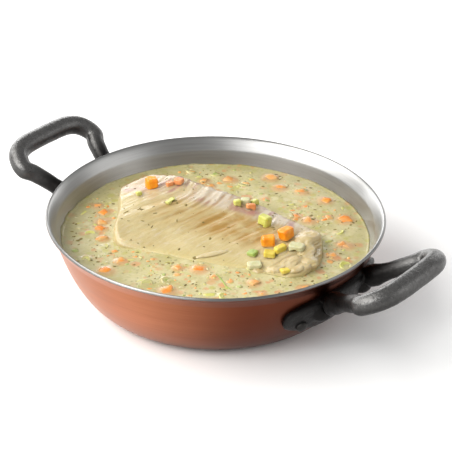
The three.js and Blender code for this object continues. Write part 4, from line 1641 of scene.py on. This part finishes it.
@dataclass
class Sauce:
    """The cream sauce, cut round the fillet, with the vegetables that lie in it."""

    pan: Pan
    fillet: Fillet
    level: float = 36.0
    gap: float = 0.3
    wall_overlap: float = 0.03
    meniscus: float = 0.5
    meniscus_width: float = 2.2
    well_floor: float = 3.0
    # Painted shadow of the wall on the sauce near its edge, stronger on the left.
    painted_wall_shadow: float = 0.56
    wall_shadow_reach: float = 9.0
    creep: float = 0.8
    creep_left: float = 1.7
    creep_left_spread: float = 0.45
    turns: int = 440
    ring_step: float = 0.85
    turn_step: float = math.radians(47)
    squat: float = 0.86
    die_showing: float = 0.9
    die_tilt: float = math.radians(7)
    round_showing: float = 0.63
    round_slant: float = math.radians(16)
    strewn_count: int = 10
    strewn_seed: int = 41
    strewn_radius: Pair = (40.0, 82.0)
    strewn_length: Pair = (3.6, 6.4)
    strewn_apart: float = 9.0
    strewn_showing: float = 0.54
    strewn_tilt: float = math.radians(9)
    swell: float = 0.62
    shore_width: float = 1.6
    well_margin: float = 1.4
    die_bevel: float = 0.2
    die_dents: float = 0.34
    round_dents: float = 0.12
    carrots: tuple[Triple, ...] = (
        (-72, 32, 5.5), (-68, 24, 6), (-68, 12.5, 6.5), (-68, 4, 6), (-66, -8, 5.5), (-62, -45, 7.5),
        (-26, -66, 8), (67, 45, 7), (78, 21, 8), (56, 19, 7), (48, 24, 5), (8, 70, 7), (-4, 61, 5),
        (-8, 68, 5), (34, 74, 8), (39, 60.5, 7), (68, -23, 6), (-54, -34, 6), (-21, -40, 5),
        (-8.6, -41, 7.5), (22.5, -55, 6), (51, -60, 6), (53, 56, 6.5),
    )
    bare_carrots: tuple[int, ...] = (1, 3, 5, 6, 7, 8, 19)
    bare_leeks: tuple[int, ...] = (0, 1, 2, 5)
    leeks: tuple[Triple, ...] = (
        (-74, -2.5, 6.5), (75, -34, 7.5), (6, -71, 8), (-17, 80, 7), (-1, 76, 7), (74, 5, 6),
        (-64, -17, 5), (-74, -32, 6), (-38, -58, 7), (-27, -54, 6.5), (-14, -76, 7), (16, 63, 6),
    )

    def dice(self) -> list[SunkPiece]:
        """The listed dice, and those strewn between them."""
        placed = [
            SunkPiece(x, y, length, i * self.turn_step, self.die_showing, self.die_tilt)
            for i, (x, y, length) in enumerate(self.carrots)
        ]
        by_hand = np.array([(x, y) for x, y, _ in (*self.carrots, *self.leeks)])
        draw = draws(self.strewn_seed)
        strewn: list[SunkPiece] = []
        while len(strewn) < self.strewn_count:
            radius = np.interp(math.sqrt(next(draw)), (0, 1), self.strewn_radius)
            angle = 2 * math.pi * next(draw)
            length = np.interp(next(draw), (0, 1), self.strewn_length)
            turn = math.pi * next(draw)
            spot = np.array([radius * math.cos(angle), radius * math.sin(angle)])
            free = np.linalg.norm(by_hand - spot, axis=1).min() >= self.strewn_apart
            if free and self.fillet.away(spot[None])[0] >= length:
                strewn.append(SunkPiece(*spot, length, turn, self.strewn_showing, self.strewn_tilt))
        return placed + strewn

    def rounds(self) -> list[SunkPiece]:
        """The short cuts of leek."""
        return [
            SunkPiece(x, y, length, i * self.turn_step, self.round_showing, self.round_slant)
            for i, (x, y, length) in enumerate(self.leeks)
        ]

    def surface(self, flat: Array) -> Array:
        """The height of the sauce at flat places in the serving frame.

        Args:
            flat: Rows of two coordinates.

        Returns:
            One height for each, at the well's floor under the fillet.
        """
        points = np.column_stack([flat, np.zeros(len(flat))])
        waves = 0.22 * fractal(points, 17.0, 101, 3) + 0.12 * fractal(points, 4.0, 103, 2)
        radius = np.hypot(flat[:, 0], flat[:, 1])
        edge = self.pan.inner_radius(self.level) - radius
        wall = self.meniscus * np.exp(-np.maximum(edge, 0) / (self.meniscus_width / 2))
        away = self.fillet.away(flat)
        shore = (0.45 + 0.35 * fractal(points, 9.0, 107, 2)) * np.exp(-np.maximum(away, 0) / self.shore_width)
        bumps = np.zeros(len(flat))
        for piece in (*self.dice(), *self.rounds()):
            gone = np.hypot(flat[:, 0] - piece.x, flat[:, 1] - piece.y) / (piece.length * self.swell)
            bumps = np.maximum(bumps, piece.showing * self.swell * (1 - smoothstep(gone, 0.55, 1.35)))
        height = self.level + waves + wall + shore + bumps
        return np.where(away < -self.well_margin, self.well_floor, height)

    def body(self, palette: Palette) -> Piece:
        """The sauce itself, spun to fill the pan and then shaped on top.

        Args:
            palette: The scene's materials.

        Returns:
            The finished piece.
        """
        steel = self.pan.inset(self.pan.wall_line(), self.pan.sheet + self.gap / 2)
        top = self.level + self.meniscus
        side = steel[steel[:, 1] < top]
        edge = np.interp(top, steel[:, 1], steel[:, 0])
        rings = np.arange(self.ring_step, edge - 0.4, self.ring_step)[::-1]
        profile = np.concatenate([
            [[0, self.pan.sheet + self.gap]], side, [[edge, top]],
            np.column_stack([rings, np.full(len(rings), self.level)]), [[0, self.level]],
        ])
        obj = spun("sauce", profile, self.turns)
        points = coordinates(obj)
        upper = (points[:, 2] > self.level - 0.2) & (np.hypot(points[:, 0], points[:, 1]) < edge - 0.2)
        flat = points[upper, :2]
        points[upper, 2] = self.surface(flat)
        rim = (points[:, 2] > self.level) & ~upper
        angle = np.arctan2(points[rim, 1], -points[rim, 0])
        patchy = smoothstep(fractal(points[rim], 15.0, 139, 3), -0.35, 0.7)
        left = self.creep_left * np.exp(-((angle / self.creep_left_spread) ** 2))
        points[rim, 2] += (self.creep + left) * patchy
        wall = self.pan.inner_radius(points[rim, 2]) + self.wall_overlap
        points[rim, :2] *= (wall / np.hypot(points[rim, 0], points[rim, 1]))[:, None]
        set_coordinates(obj, points)
        blush = np.zeros(len(points))
        for piece in self.dice():
            gone = np.hypot(points[:, 0] - piece.x, points[:, 1] - piece.y) / (piece.length * 0.6)
            blush = np.maximum(blush, 0.6 * (1 - smoothstep(gone, 0.6, 1.9)))
        paint(obj, "blush", blush * (points[:, 2] > self.level - 1))
        # Painted shadow of the wall: olive near the edge, stronger and wider on the left, easing right at the
        # wall.
        shore = np.maximum(edge - np.hypot(points[:, 0], points[:, 1]), 0)
        leftward = np.clip(-points[:, 0] / self.pan.rim_radius, 0, 1)
        shade = np.exp(-shore / (self.wall_shadow_reach * (1 + 0.9 * leftward))) - 0.6 * np.exp(-shore / 1.1)
        paint(obj, "edge", np.maximum(self.painted_wall_shadow * (1 + 0.4 * leftward) * shade, 0))
        return settle(obj, "sauce_body", (palette["sauce"],), SERVING_TURN, ("cream_sauce",))

    def _die(self, piece: SunkPiece, seed: int) -> Piece:
        """One die with soft edges, sunk in the sauce.

        Args:
            piece: Its place, size and turn.
            seed: Picks its form and how much sauce lies on it.

        Returns:
            The piece's object.
        """
        bpy.ops.mesh.primitive_cube_add(size=1)
        obj = bpy.context.object
        with editing(obj):
            bpy.ops.mesh.bevel(offset=self.die_bevel, segments=2, affect="EDGES")
            bpy.ops.mesh.subdivide(number_cuts=1)
        shape = coordinates(obj)
        edge = 2 * np.abs(shape[:, :2]).max(axis=1)
        shape += fractal(shape + seed, 0.8, seed, 2)[:, None] * shape * self.die_dents
        shape *= [piece.length, piece.length * self.squat, piece.length]
        lean = Matrix.Rotation(-piece.tilt / 2, 3, "Y") @ Matrix.Rotation(piece.tilt, 3, "X")
        share = 0.0 if seed in self.bare_carrots else 0.25 + 0.25 * math.sin(seed * 2.4)
        return self._sink(obj, piece, (shape, piece.length / 2, lean), edge, share)

    def _round(self, piece: SunkPiece, seed: int) -> Piece:
        """One short cut of leek with its rings, sunk at a slant.

        Args:
            piece: Its place, size and turn.
            seed: Picks its form and how much sauce lies on it.

        Returns:
            The piece's object.
        """
        bpy.ops.mesh.primitive_cylinder_add(vertices=24, radius=0.5, depth=0.5)
        obj = bpy.context.object
        rings = [(0.08, depth) for depth in (0.0, -0.06, 0.06, -0.06)]
        inset_rings(obj, lambda face: abs(face.normal.z) > 0.9, rings)
        shape = coordinates(obj)
        edge = 2 * np.hypot(shape[:, 0], shape[:, 1])
        shape[:, 1] *= 0.86 + 0.1 * math.sin(seed)
        shape += fractal(shape + seed, 0.7, seed, 2)[:, None] * shape * self.round_dents
        lean = Matrix.Rotation(piece.tilt, 3, "X")
        share = 0.0 if seed in self.bare_leeks else 0.35 + 0.2 * math.sin(seed * 2.4)
        return self._sink(obj, piece, (shape * piece.length, piece.length / 4, lean), edge, share)

    def _sink(self, obj: Piece, piece: SunkPiece, form: tuple[Array, float, Matrix], edge: Array,
              share: float) -> Piece:
        """Lays a piece in the sauce and paints how much sauce lies on it.

        Args:
            obj: The piece's object.
            piece: Its place, turn and showing.
            form: Its points, half its height and how it leans.
            edge: How near each point is to the edge of its cut face, from 0 to 1.
            share: The sauce on its middle. There is more at its edges.

        Returns:
            The piece's object.
        """
        shape, half, lean = form
        turn = Matrix.Rotation(piece.turn, 3, "Z") @ lean
        points = shape @ np.array(turn).T + [piece.x, piece.y, self.level + piece.showing - half]
        set_coordinates(obj, points)
        depth = 1 - smoothstep(points[:, 2] - self.level, 0.1, 0.9)
        rim = smoothstep(edge, 0.25, 0.9) * (0.95 if share else 0.3)
        shown = np.maximum(depth, share + (1 - share) * rim) + 0.2 * fractal(points, 3.0, 113, 2)
        paint(obj, "covered", np.clip(shown, 0, 0.96))
        return obj

    def build(self, palette: Palette) -> Piece:
        """Makes the sauce and what is sunk in it, and gives back the sauce's body."""
        body = self.body(palette)
        for name, slot, finish, make, pieces in (
            ("sunk_carrots", Slot.CARROT, "sunk_carrot", self._die, self.dice()),
            ("sunk_leeks", Slot.LEEK, "leek", self._round, self.rounds()),
        ):
            sunk = join([make(piece, k) for k, piece in enumerate(pieces)])
            settle(sunk, name, (palette[finish],), SERVING_TURN)
        return body


# --- toppings


@dataclass
class Toppings:
    """The pieces that lie on the fillet, each softened from its own plain solid.

    Each row of looks has the start of a node's name, its slot and its material.
    """

    voxel: float = 0.3
    softening: int = 3
    unevenness: float = 0.9
    looks: tuple[tuple[str, Slot, str], ...] = (
        ("carrot_bit", Slot.CARROT, "pale_carrot"), ("carrot", Slot.CARROT, "carrot"),
        ("leek_leaf", Slot.LEAF, "leaf"), ("leek_slice", Slot.LEEK, "heart"),
        ("leek", Slot.LEEK, "leek"), ("onion", Slot.ONION, "onion"),
    )

    def build(self, palette: Palette) -> None:
        """Makes one soft piece for each node."""
        kinds = tuple(row[0] for row in self.looks)
        for k, node in enumerate(name for name in sorted(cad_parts) if name.startswith(kinds)):
            obj = copy_of_node(node)
            soft_skin(obj, self.voxel, self.softening)
            points = coordinates(obj)
            warp = np.column_stack([fractal(points, 10.0, 200 + 3 * k + axis, 1) for axis in range(3)])
            raise_skin(obj, points + self.unevenness * warp, 0.12 * fractal(points, 1.2, 330 + k, 2))
            above = points[:, 2] - points[:, 2].min()
            paint(obj, "covered", 0.5 * (1 - smoothstep(above, 0.3, 1.8)))
            _, slot, finish = next(row for row in self.looks if node.startswith(row[0]))
            settle(obj, f"{node}_soft", (palette[finish],), nodes=(node,))


# --- small things


class Ground:
    """The finished top of the fish and the sauce, that small things are laid on."""

    def __init__(self, pieces: Sequence[Piece]) -> None:
        """Reads the pieces' faces."""
        self.trees = [
            BVHTree.FromPolygons([v.co for v in obj.data.vertices], [f.vertices for f in obj.data.polygons])
            for obj in pieces
        ]

    def seat(self, x: float, y: float, turn: float, lift: float, size: Triple) -> Matrix:
        """The frame of a thing that lies on the surface.

        Args:
            x: Its place to the photograph's right, in millimetres.
            y: Its place away from the viewer, in millimetres.
            turn: Its turn on the surface.
            lift: How high its middle is over the surface, in millimetres.
            size: Its length, width and thickness, in millimetres.

        Returns:
            A matrix in millimetres, in the pan's frame.
        """
        spot = Matrix.Rotation(SERVING_TURN, 3, "Z") @ Vector((x, y, 0))
        high = Vector((spot.x * MM, spot.y * MM, 1.0))
        hits = [tree.ray_cast(high, Vector((0, 0, -1))) for tree in self.trees]
        found = max((hit for hit in hits if hit[0] is not None), key=lambda hit: hit[0].z)
        normal = found[1]
        heading = Vector((math.cos(turn + SERVING_TURN), math.sin(turn + SERVING_TURN), 0))
        side = normal.cross(heading).normalized()
        basis = Matrix((side.cross(normal), side, normal)).transposed().to_4x4()
        place = found[0] / MM + normal * lift
        return Matrix.Translation(place) @ basis @ Matrix.Diagonal((*size, 1.0))


class Shape(Enum):
    """The plain shapes that the small things start from."""

    FLECK = "fleck"
    CHIP = "chip"
    LUMP = "lump"


@dataclass(frozen=True)
class Crowd:
    """One kind of small thing, strewn over the sauce by a seeded draw.

    The placed things are rows of place, length, width and turn in degrees, then the cover, which
    for a lump is its added thickness. A turn or a cover that is left out is 0.
    """

    name: str
    shape: Shape
    slot: Slot
    finish: str
    seed: int
    count: int = 0
    length: Pair = (1.0, 2.0)
    slim: Pair = (0.5, 0.9)
    thickness: float = 0.4
    lift: float = 0.1
    cover: Pair = (0.0, 0.0)
    dents: float = 0.12
    dent_size: float = 1.6
    on_fish: int = 0
    placed: tuple[tuple[float, ...], ...] = ()


@dataclass
class SmallThings:
    """Herb flecks and small bits of vegetable and fish, laid where the photograph shows them."""

    fillet: Fillet
    ground: Ground
    reach: float = 87.0
    patch_size: float = 24.0
    batch: int = 400
    fish_margin: float = 3.0
    sauce_margin: float = 0.8
    melt_voxel: float = 0.5
    melt_softening: int = 34
    sliver: tuple[Pair, ...] = ((-11.0, -30.3), (-1.7, -28.0), (7.5, -26.4))
    fibre: tuple[Pair, ...] = ((0.9, -45.8), (3.0, -49.5), (5.4, -55.5), (7.2, -60.0), (10.4, -63.2))

    def template(self, shape: Shape) -> Piece:
        """One plain shape of unit size.

        Args:
            shape: Which plain shape.

        Returns:
            The new mesh object.
        """
        if shape is Shape.FLECK:
            bpy.ops.mesh.primitive_uv_sphere_add(segments=6, ring_count=4, radius=0.5)
            bpy.context.object.data.transform(Matrix.Rotation(math.pi / 2, 4, "Y"))
        elif shape is Shape.LUMP:
            bpy.ops.mesh.primitive_ico_sphere_add(subdivisions=4, radius=0.5)
        else:
            bpy.ops.mesh.primitive_cube_add(size=1)
            with editing(bpy.context.object):
                bpy.ops.mesh.bevel(offset=0.3, segments=1, affect="EDGES")
        return bpy.context.object

    def spots(self, rng: np.random.Generator, count: int, on_fish: bool) -> list[Pair]:
        """Draws flat places on the sauce or on the fish, thicker in some patches.

        Args:
            rng: Draws the places.
            count: How many places.
            on_fish: True for places on the fish, False for the sauce.

        Returns:
            The flat places.
        """
        found: list[Pair] = []
        while len(found) < count:
            radius = self.reach * np.sqrt(rng.random(self.batch))
            angle = 2 * np.pi * rng.random(self.batch)
            flat = np.column_stack([radius * np.cos(angle), radius * np.sin(angle)])
            away = self.fillet.away(flat)
            patches = fractal(np.column_stack([flat, flat[:, 0] * 0]), self.patch_size, 127, 2)
            dense = patches > rng.random(self.batch) * 1.6 - 1
            kept = dense & ((away < -self.fish_margin) if on_fish else (away > self.sauce_margin))
            found += [tuple(spot) for spot in flat[kept]]
        return found[:count]

    def crowd(self, kind: Crowd, palette: Palette) -> Piece:
        """Copies a shape to every place of its kind and makes one piece of the copies.

        Args:
            kind: The kind of small thing.
            palette: The scene's materials.

        Returns:
            The finished piece.
        """
        rng = np.random.default_rng(kind.seed)
        laid = []
        for row in kind.placed:
            x, y, length, width, turn, cover = (*row, 0, 0)[:6]
            laid.append((x, y, length, width, math.radians(turn), cover))
        for x, y in self.spots(rng, kind.count, False) + self.spots(rng, kind.on_fish, True):
            length, slim = rng.uniform(*kind.length), rng.uniform(*kind.slim)
            laid.append((x, y, length, length * slim, rng.uniform(0, math.pi), rng.uniform(*kind.cover)))
        lump = kind.shape is Shape.LUMP
        template = self.template(kind.shape)
        plain = coordinates(template)
        sunk = np.maximum(smoothstep(np.hypot(plain[:, 0], plain[:, 1]), 0.3, 0.62), plain[:, 2] < 0.2)
        copies = []
        for x, y, length, width, turn, cover in laid:
            copy = add_object(kind.name, template.data.copy())
            size = (length, width, min(kind.thickness, width) + (cover if lump else 0))
            paint(copy, "covered", np.maximum(cover, sunk) if kind.shape is Shape.CHIP else sunk * 0)
            copy.data.transform(self.ground.seat(x, y, turn, kind.lift, size))
            copies.append(copy)
        bpy.data.objects.remove(template)
        obj = join(copies)
        if lump:
            self.melt(obj)
        points = coordinates(obj)
        shift = np.column_stack([fractal(points, kind.dent_size, kind.seed + k, 2) for k in range(3)])
        set_coordinates(obj, points + shift * kind.dents)
        return settle(obj, kind.name, (palette[kind.finish],))

    def melt(self, obj: Piece) -> None:
        """Makes one soft flaky form of overlapping lumps."""
        tidy_shell(obj)
        soft_skin(obj, self.melt_voxel, self.melt_softening)
        points = coordinates(obj)
        flake = SERVING_TURN + self.fillet.flakes
        along = points[:, 0] * math.cos(flake) + points[:, 1] * math.sin(flake)
        across = points[:, 1] * math.cos(flake) - points[:, 0] * math.sin(flake)
        fibres = lattice_noise(np.column_stack([across / 1.3, along / 8, points[:, 2] / 1.3]), 157)
        relief = 0.4 * fractal(points, 5.5, 151, 3) + 0.4 * fibres + 0.1 * fractal(points, 1.8, 167, 1)
        raise_skin(obj, points, relief)
        patchy = fractal(points, 7.0, 163, 2)
        paint(obj, "gold", 0.12 + 0.16 * smoothstep(patchy - fibres, -0.6, 0.8))
        paint(obj, "pale", 0.2 * smoothstep(-patchy, -0.2, 0.6))

    def strand(self, name: str, spots: Sequence[Pair], width: float, flat: float, lift: float,
               material: Material) -> Piece:
        """A thin strip or fibre that lies along a line of places.

        Args:
            name: The piece's name.
            spots: Flat places along it.
            width: Its width in the middle, in millimetres.
            flat: Its thickness as a share of its width.
            lift: How high its middle is over the surface, in millimetres.
            material: Its material.

        Returns:
            The finished piece.
        """
        line = catmull_rom(np.array(spots), closed=False, even=False, per_span=8)
        seats = np.array([self.ground.seat(x, y, 0.0, lift, (1, 1, 1)).translation for x, y in line])
        middle = seats.copy()
        middle[2:-2, 2] = np.convolve(seats[:, 2], np.ones(5) / 5, mode="same")[2:-2]
        share = (np.arange(len(seats)) + 0.7) / (len(seats) + 0.4)
        obj = swept(name, middle, np.sin(np.pi * share) ** 0.6, width / 2, 3)
        tidy_shell(obj)
        heading = (seats[-1] - seats[0]) * [1, 1, 0]
        heading /= np.linalg.norm(heading)
        points = coordinates(obj)
        seats = seats[np.argsort(seats @ heading)]
        centre = np.interp(points @ heading, seats @ heading, seats[:, 2])
        points[:, 2] = centre + (points[:, 2] - centre) * flat
        raise_skin(obj, points, 0.12 * fractal(points, 2.5, 131, 2))
        paint(obj, "pale", np.full(len(points), 0.12))
        return settle(obj, name, (material,))

    def build(self, palette: Palette, crowds: Sequence[Crowd]) -> None:
        """Makes every kind, the fish's loose sliver and the long leek fibre."""
        for kind in crowds:
            self.crowd(kind, palette)
        self.strand("fish_sliver", self.sliver, 4.6, 0.42, -0.1, palette["flesh"])
        self.strand("leek_fibre", self.fibre, 1.0, 0.6, 0.1, palette["leaf"])


HERBS = Crowd(
    "herb_flecks", Shape.FLECK, Slot.LEAF, "herb", 11, count=130, length=(0.9, 2.4), slim=(0.35, 0.7),
    thickness=0.35, lift=0.08, dents=0.3, on_fish=26,
    placed=(
        (-24.9, 16.4, 3.2, 2.2, 20), (-23.4, 14.6, 2.2, 1.4, 100), (-30.6, 14.8, 1.8, 1.2),
        (-53.3, 6.2, 4.6, 1.0, 35), (-36.1, 5.1, 2.8, 0.7, 20), (-45.1, 8.7, 4.2, 0.6),
        (-45.4, 9.4, 3.6, 0.6, 60), (-44.8, 8.2, 3.8, 0.6, 120), (-43.6, 8.2, 3.0, 0.6, 30),
        (-55.5, -1.1, 1.5, 1.0), (-7.5, -0.9, 1.4, 0.9), (-49.1, -15.7, 1.2, 0.9),
        (-45.0, -17.5, 1.1, 0.8), (-41.4, -19.9, 1.5, 1.0), (-6.5, -21.8, 1.5, 1.0),
        (33.9, 9.5, 1.8, 1.2), (41.0, 20.5, 2.2, 1.2), (-11.5, -30.4, 3.0, 2.2),
        (-26.9, -34.6, 2.8, 1.9), (-24.3, -34.2, 2.2, 1.4, 40), (49.9, -33.1, 2.6, 2.2),
        (13.4, -47.4, 3.0, 1.0, -60), (33.3, -50.4, 2.8, 0.9, -65), (54.8, -24.4, 3.6, 1.0, -60),
        (39.8, -22.1, 2.6, 0.6), (33.3, -6.0, 2.6, 1.8), (34.2, -8.0, 2.2, 1.4, 40),
        (14.8, 15.3, 2.2, 1.3), (-80.6, -10.5, 2.6, 1.8), (-83.3, -5.9, 2.4, 1.6, 30),
        (-79.0, -8.7, 2.8, 1.8, 70), (-85.0, 0.1, 2.0, 1.4), (-67.0, -34.4, 2.2, 1.4),
        (-33.2, -52.1, 2.4, 1.2, 20), (16.2, 62.8, 2.4, 1.4), (14.3, 74.9, 2.4, 1.6),
        (37.0, 78.6, 2.6, 1.6), (39.5, 75.9, 2.2, 1.4, 50), (50.8, 70.7, 2.2, 1.4),
        (58.2, 61.6, 2.2, 1.4), (28.7, 62.0, 2.0, 1.4), (57.8, 19.9, 3.2, 2.6), (67.2, 15.9, 1.8, 1.2),
        (71.1, 8.7, 2.2, 1.4), (75.7, 17.5, 1.8, 1.2), (42.7, -56.9, 2.2, 1.2, 30),
    ),
)
SPECKS = Crowd("herb_specks", Shape.FLECK, Slot.LEAF, "herb", 13, count=110, length=(0.5, 1.0),
               slim=(0.5, 0.9), thickness=0.3, lift=0.05, dents=0.15, on_fish=24)
CARROT_BITS = Crowd(
    "carrot_bits", Shape.CHIP, Slot.CARROT, "sunk_carrot", 17, count=60, length=(1.2, 3.2), slim=(0.5, 0.9),
    thickness=0.9, lift=-0.27, cover=(0.35, 0.85), dents=0.6,
    placed=(
        (-78.0, 30.8, 3.4, 2.6, 20, 0.2), (-66.2, 31.9, 3.4, 2.6, 70, 0.2),
        (-58.4, -22.0, 5.2, 3.8, 10, 0.3), (-35.8, -63.1, 3.6, 2.8, 30, 0.2),
        (-8.2, 65.1, 3.2, 2.4, 0, 0.3), (40.8, 60.5, 5.2, 3.6, 0, 0.25),
        (54.7, 36.8, 4.0, 2.8, 20, 0.2), (65.6, 20.8, 4.8, 3.4, 20, 0.1),
        (-35.9, -30.6, 3.4, 2.4, -10, 0.35), (17.4, -66.1, 3.8, 2.6, 20, 0.2),
        (-72.9, 19.6, 4.5, 3.6, 50, 0.2), (-69.3, -8.5, 4.5, 3.4, 0, 0.55),
        (-54.2, -29.3, 3.4, 2.6, 0, 0.5), (-46.2, -27.9, 4.2, 2.6, 0, 0.4),
        (-21.2, -47.3, 5.0, 3.6, 10, 0.7), (8.9, -53.8, 5.4, 4.2, 30, 0.65),
        (13.1, -43.9, 3.5, 2.4, 0, 0.4), (-13.2, -69.5, 4.5, 3.2, 0, 0.6),
        (-16.7, 79.0, 6.0, 4.0, 0, 0.65), (1.8, 65.5, 4.0, 3.0, 0, 0.5), (8.1, 61.1, 4.0, 3.0, 0, 0.6),
        (18.1, 66.2, 5.5, 4.0, 0, 0.5), (22.2, 70.8, 4.0, 3.0, 0, 0.6), (46.3, 31.4, 4.0, 3.0, 0, 0.6),
        (48.1, 20.1, 4.0, 3.0, 0, 0.4), (66.4, -29.3, 5.0, 4.0, 0, 0.55),
        (48.6, -64.4, 5.0, 3.6, 0, 0.6),
    ),
)
LEEK_BITS = Crowd(
    "leek_bits", Shape.CHIP, Slot.LEEK, "leek", 19, count=80, length=(1.4, 3.8), slim=(0.35, 0.8),
    thickness=0.8, lift=-0.2, cover=(0.35, 0.8), dents=0.5,
    placed=(
        (-79.8, 23.7, 7.5, 2.2, 60, 0.35), (-81.8, 10.6, 6.0, 2.0, 40, 0.4),
        (-48.3, -31.8, 7.0, 2.2, 10, 0.3), (-41.3, -54.6, 6.5, 2.4, 20, 0.35),
        (-2.1, -68.4, 9.0, 4.2, 5, 0.1), (-11.5, 73.8, 5.0, 3.0, 0, 0.35),
        (53.2, 57.6, 6.5, 4.0, 0, 0.35), (45.6, 39.0, 5.0, 3.0, 0, 0.4),
        (65.8, -6.0, 7.5, 3.6, 25, 0.3), (20.6, -40.4, 6.0, 4.4, 10, 0.5),
        (-26.6, 20.4, 5.0, 3.0, 30, 0.35),
    ),
)
LEAF_BITS = Crowd(
    "leaf_bits", Shape.CHIP, Slot.LEAF, "leaf", 23, count=34, length=(1.2, 3.2), slim=(0.35, 0.8),
    thickness=0.7, lift=-0.16, cover=(0.3, 0.75), dents=0.5,
    placed=(
        (-81.3, -22.3, 4.5, 3.4, 0, 0.35), (-49.9, -37.2, 3.5, 2.2, 0, 0.4),
        (-27.3, -53.0, 4.4, 3.4, 60, 0.1), (-28.9, -47.6, 3.2, 2.2, 60, 0.3),
        (14.0, -59.1, 4.0, 3.0, 0, 0.35), (23.0, -54.4, 4.6, 3.6, 0, 0.5),
        (-1.5, 77.0, 5.5, 3.6, 0, 0.3), (31.2, 43.0, 4.0, 2.8, 0, 0.3),
    ),
)
ONION_BITS = Crowd("onion_bits", Shape.CHIP, Slot.ONION, "onion", 29, count=55, length=(1.4, 4.0),
                   slim=(0.5, 0.9), thickness=0.9, lift=-0.2, cover=(0.5, 0.85), dents=0.6)
FISH_LUMPS = Crowd(
    "fish_lumps", Shape.LUMP, Slot.COD, "flesh", 31, thickness=4.6, lift=-0.9, dents=0.6, dent_size=5.0,
    placed=(
        (53.5, -15.0, 20.0, 15.0, 50, 3.4), (52.0, -28.0, 14.0, 12.0, 60, 0.8),
        (43.0, -38.0, 15.0, 9.0, 20), (33.5, -42.5, 13.0, 7.0, -15), (55.0, -37.5, 11.0, 10.0, 50, 0.3),
        (45.0, -45.0, 13.0, 6.5, 5), (39.0, -29.0, 10.0, 6.0, 30), (25.0, -42.5, 9.0, 5.0, -20),
    ),
)


# --- studio


def towards(azimuth: float, elevation: float) -> Vector:
    """The way from the pan to a viewer or a light."""
    level = math.cos(elevation)
    return Vector((math.sin(azimuth) * level, -math.cos(azimuth) * level, math.sin(elevation)))


@dataclass
class PhotoCamera:
    """The photograph's viewpoint, fitted to the rim's and the handles' outline."""

    frame_width: int = 452
    focal_pixels: float = 1702.737
    sensor: float = 36.0
    azimuth: float = math.radians(37.37)
    elevation: float = math.radians(29.127)
    roll: float = math.radians(1.129)
    distance: float = 1000.0
    rim_height: float = 52.2
    rim_pixel: Pair = (215.993, 210.424)

    def build(self) -> None:
        """Places the camera so that the rim's middle falls on its pixel."""
        back = towards(self.azimuth, self.elevation)
        level = Vector((math.cos(self.azimuth), math.sin(self.azimuth), 0))
        upright = back.cross(level)
        right = math.cos(self.roll) * level + math.sin(self.roll) * upright
        up = -math.sin(self.roll) * level + math.cos(self.roll) * upright
        middle = self.frame_width / 2
        shift = self.distance / self.focal_pixels
        place = back * self.distance + Vector((0, 0, self.rim_height))
        place -= right * (self.rim_pixel[0] - middle) * shift
        place += up * (self.rim_pixel[1] - middle) * shift
        data = bpy.data.cameras.new("photo_camera")
        data.sensor_width = self.sensor
        data.lens = self.sensor * self.focal_pixels / self.frame_width
        data.clip_start = 0.05
        camera = add_object("photo_camera", data)
        turn = Matrix((right, up, back)).transposed().to_4x4()
        camera.matrix_world = Matrix.Translation(place * MM) @ turn
        bpy.context.scene.camera = camera
        log.info("camera placed, lens %.1f mm", data.lens)


@dataclass(frozen=True)
class Softbox:
    """One soft light: its place about the pan, its size and its power."""

    name: str
    azimuth: float
    elevation: float
    distance: float
    size: Pair
    power: float
    tint: Color = (1.0, 1.0, 1.0)


@dataclass
class Studio:
    """A plain pale floor and soft light, set round the photograph's viewing direction."""

    view_azimuth: float = 37.37
    floor_size: float = 8.0
    floor_drop: float = 0.0002
    world: float = 0.48
    aim_height: float = 0.03
    lights: tuple[Softbox, ...] = (
        Softbox("key_left", -86.0, 40.0, 1.6, (1.9, 1.3), 34.0, (1.0, 0.985, 0.96)),
        Softbox("front_fill", -42.0, 36.0, 1.7, (1.3, 1.0), 14.0),
        Softbox("back_left", -152.0, 13.0, 1.5, (1.5, 0.5), 10.5),
        Softbox("back_right", 150.0, 13.0, 1.5, (0.9, 0.45), 3.0),
        Softbox("right_fill", 80.0, 20.0, 1.7, (1.4, 1.0), 6.0),
    )

    def build(self, palette: Palette) -> None:
        """Makes the floor, the world's light and the softboxes."""
        bpy.ops.mesh.primitive_plane_add(size=self.floor_size, location=(0, 0, -self.floor_drop))
        floor = bpy.context.object
        floor.name = "studio_floor"
        floor.data.materials.append(palette["floor"])
        world = bpy.data.worlds.new("soft_world")
        bpy.context.scene.world = world
        world.use_nodes = True
        background = world.node_tree.nodes["Background"]
        background.inputs["Color"].default_value = (1.0, 1.0, 1.0, 1.0)
        background.inputs["Strength"].default_value = self.world
        for box in self.lights:
            self._softbox(box)
        bpy.context.scene.view_settings.view_transform = "Standard"

    def _softbox(self, box: Softbox) -> None:
        """Adds one light that faces the pan."""
        data = bpy.data.lights.new(box.name, "AREA")
        data.shape = "RECTANGLE"
        data.size, data.size_y = box.size
        data.energy = box.power
        data.color = box.tint
        light = add_object(box.name, data)
        away = towards(math.radians(self.view_azimuth + box.azimuth), math.radians(box.elevation))
        light.location = away * box.distance + Vector((0, 0, self.aim_height))
        light.rotation_euler = away.to_track_quat("Z", "Y").to_euler()


def main() -> None:
    """Builds every sub-assembly in order."""
    logging.basicConfig(level=logging.INFO, format="%(message)s")
    PhotoCamera().build()
    palette = make_palette()
    Studio().build(palette)
    pan = Pan()
    pan.build(palette)
    Handle(pan).build(palette)
    Rivets(pan).build(palette)
    fillet = Fillet()
    ground = Ground((fillet.build(palette), Sauce(pan, fillet).build(palette)))
    Toppings().build(palette)
    crowds = (HERBS, SPECKS, CARROT_BITS, LEEK_BITS, LEAF_BITS, ONION_BITS, FISH_LUMPS)
    SmallThings(fillet, ground).build(palette, crowds)


if __name__ == "__main__":
    main()
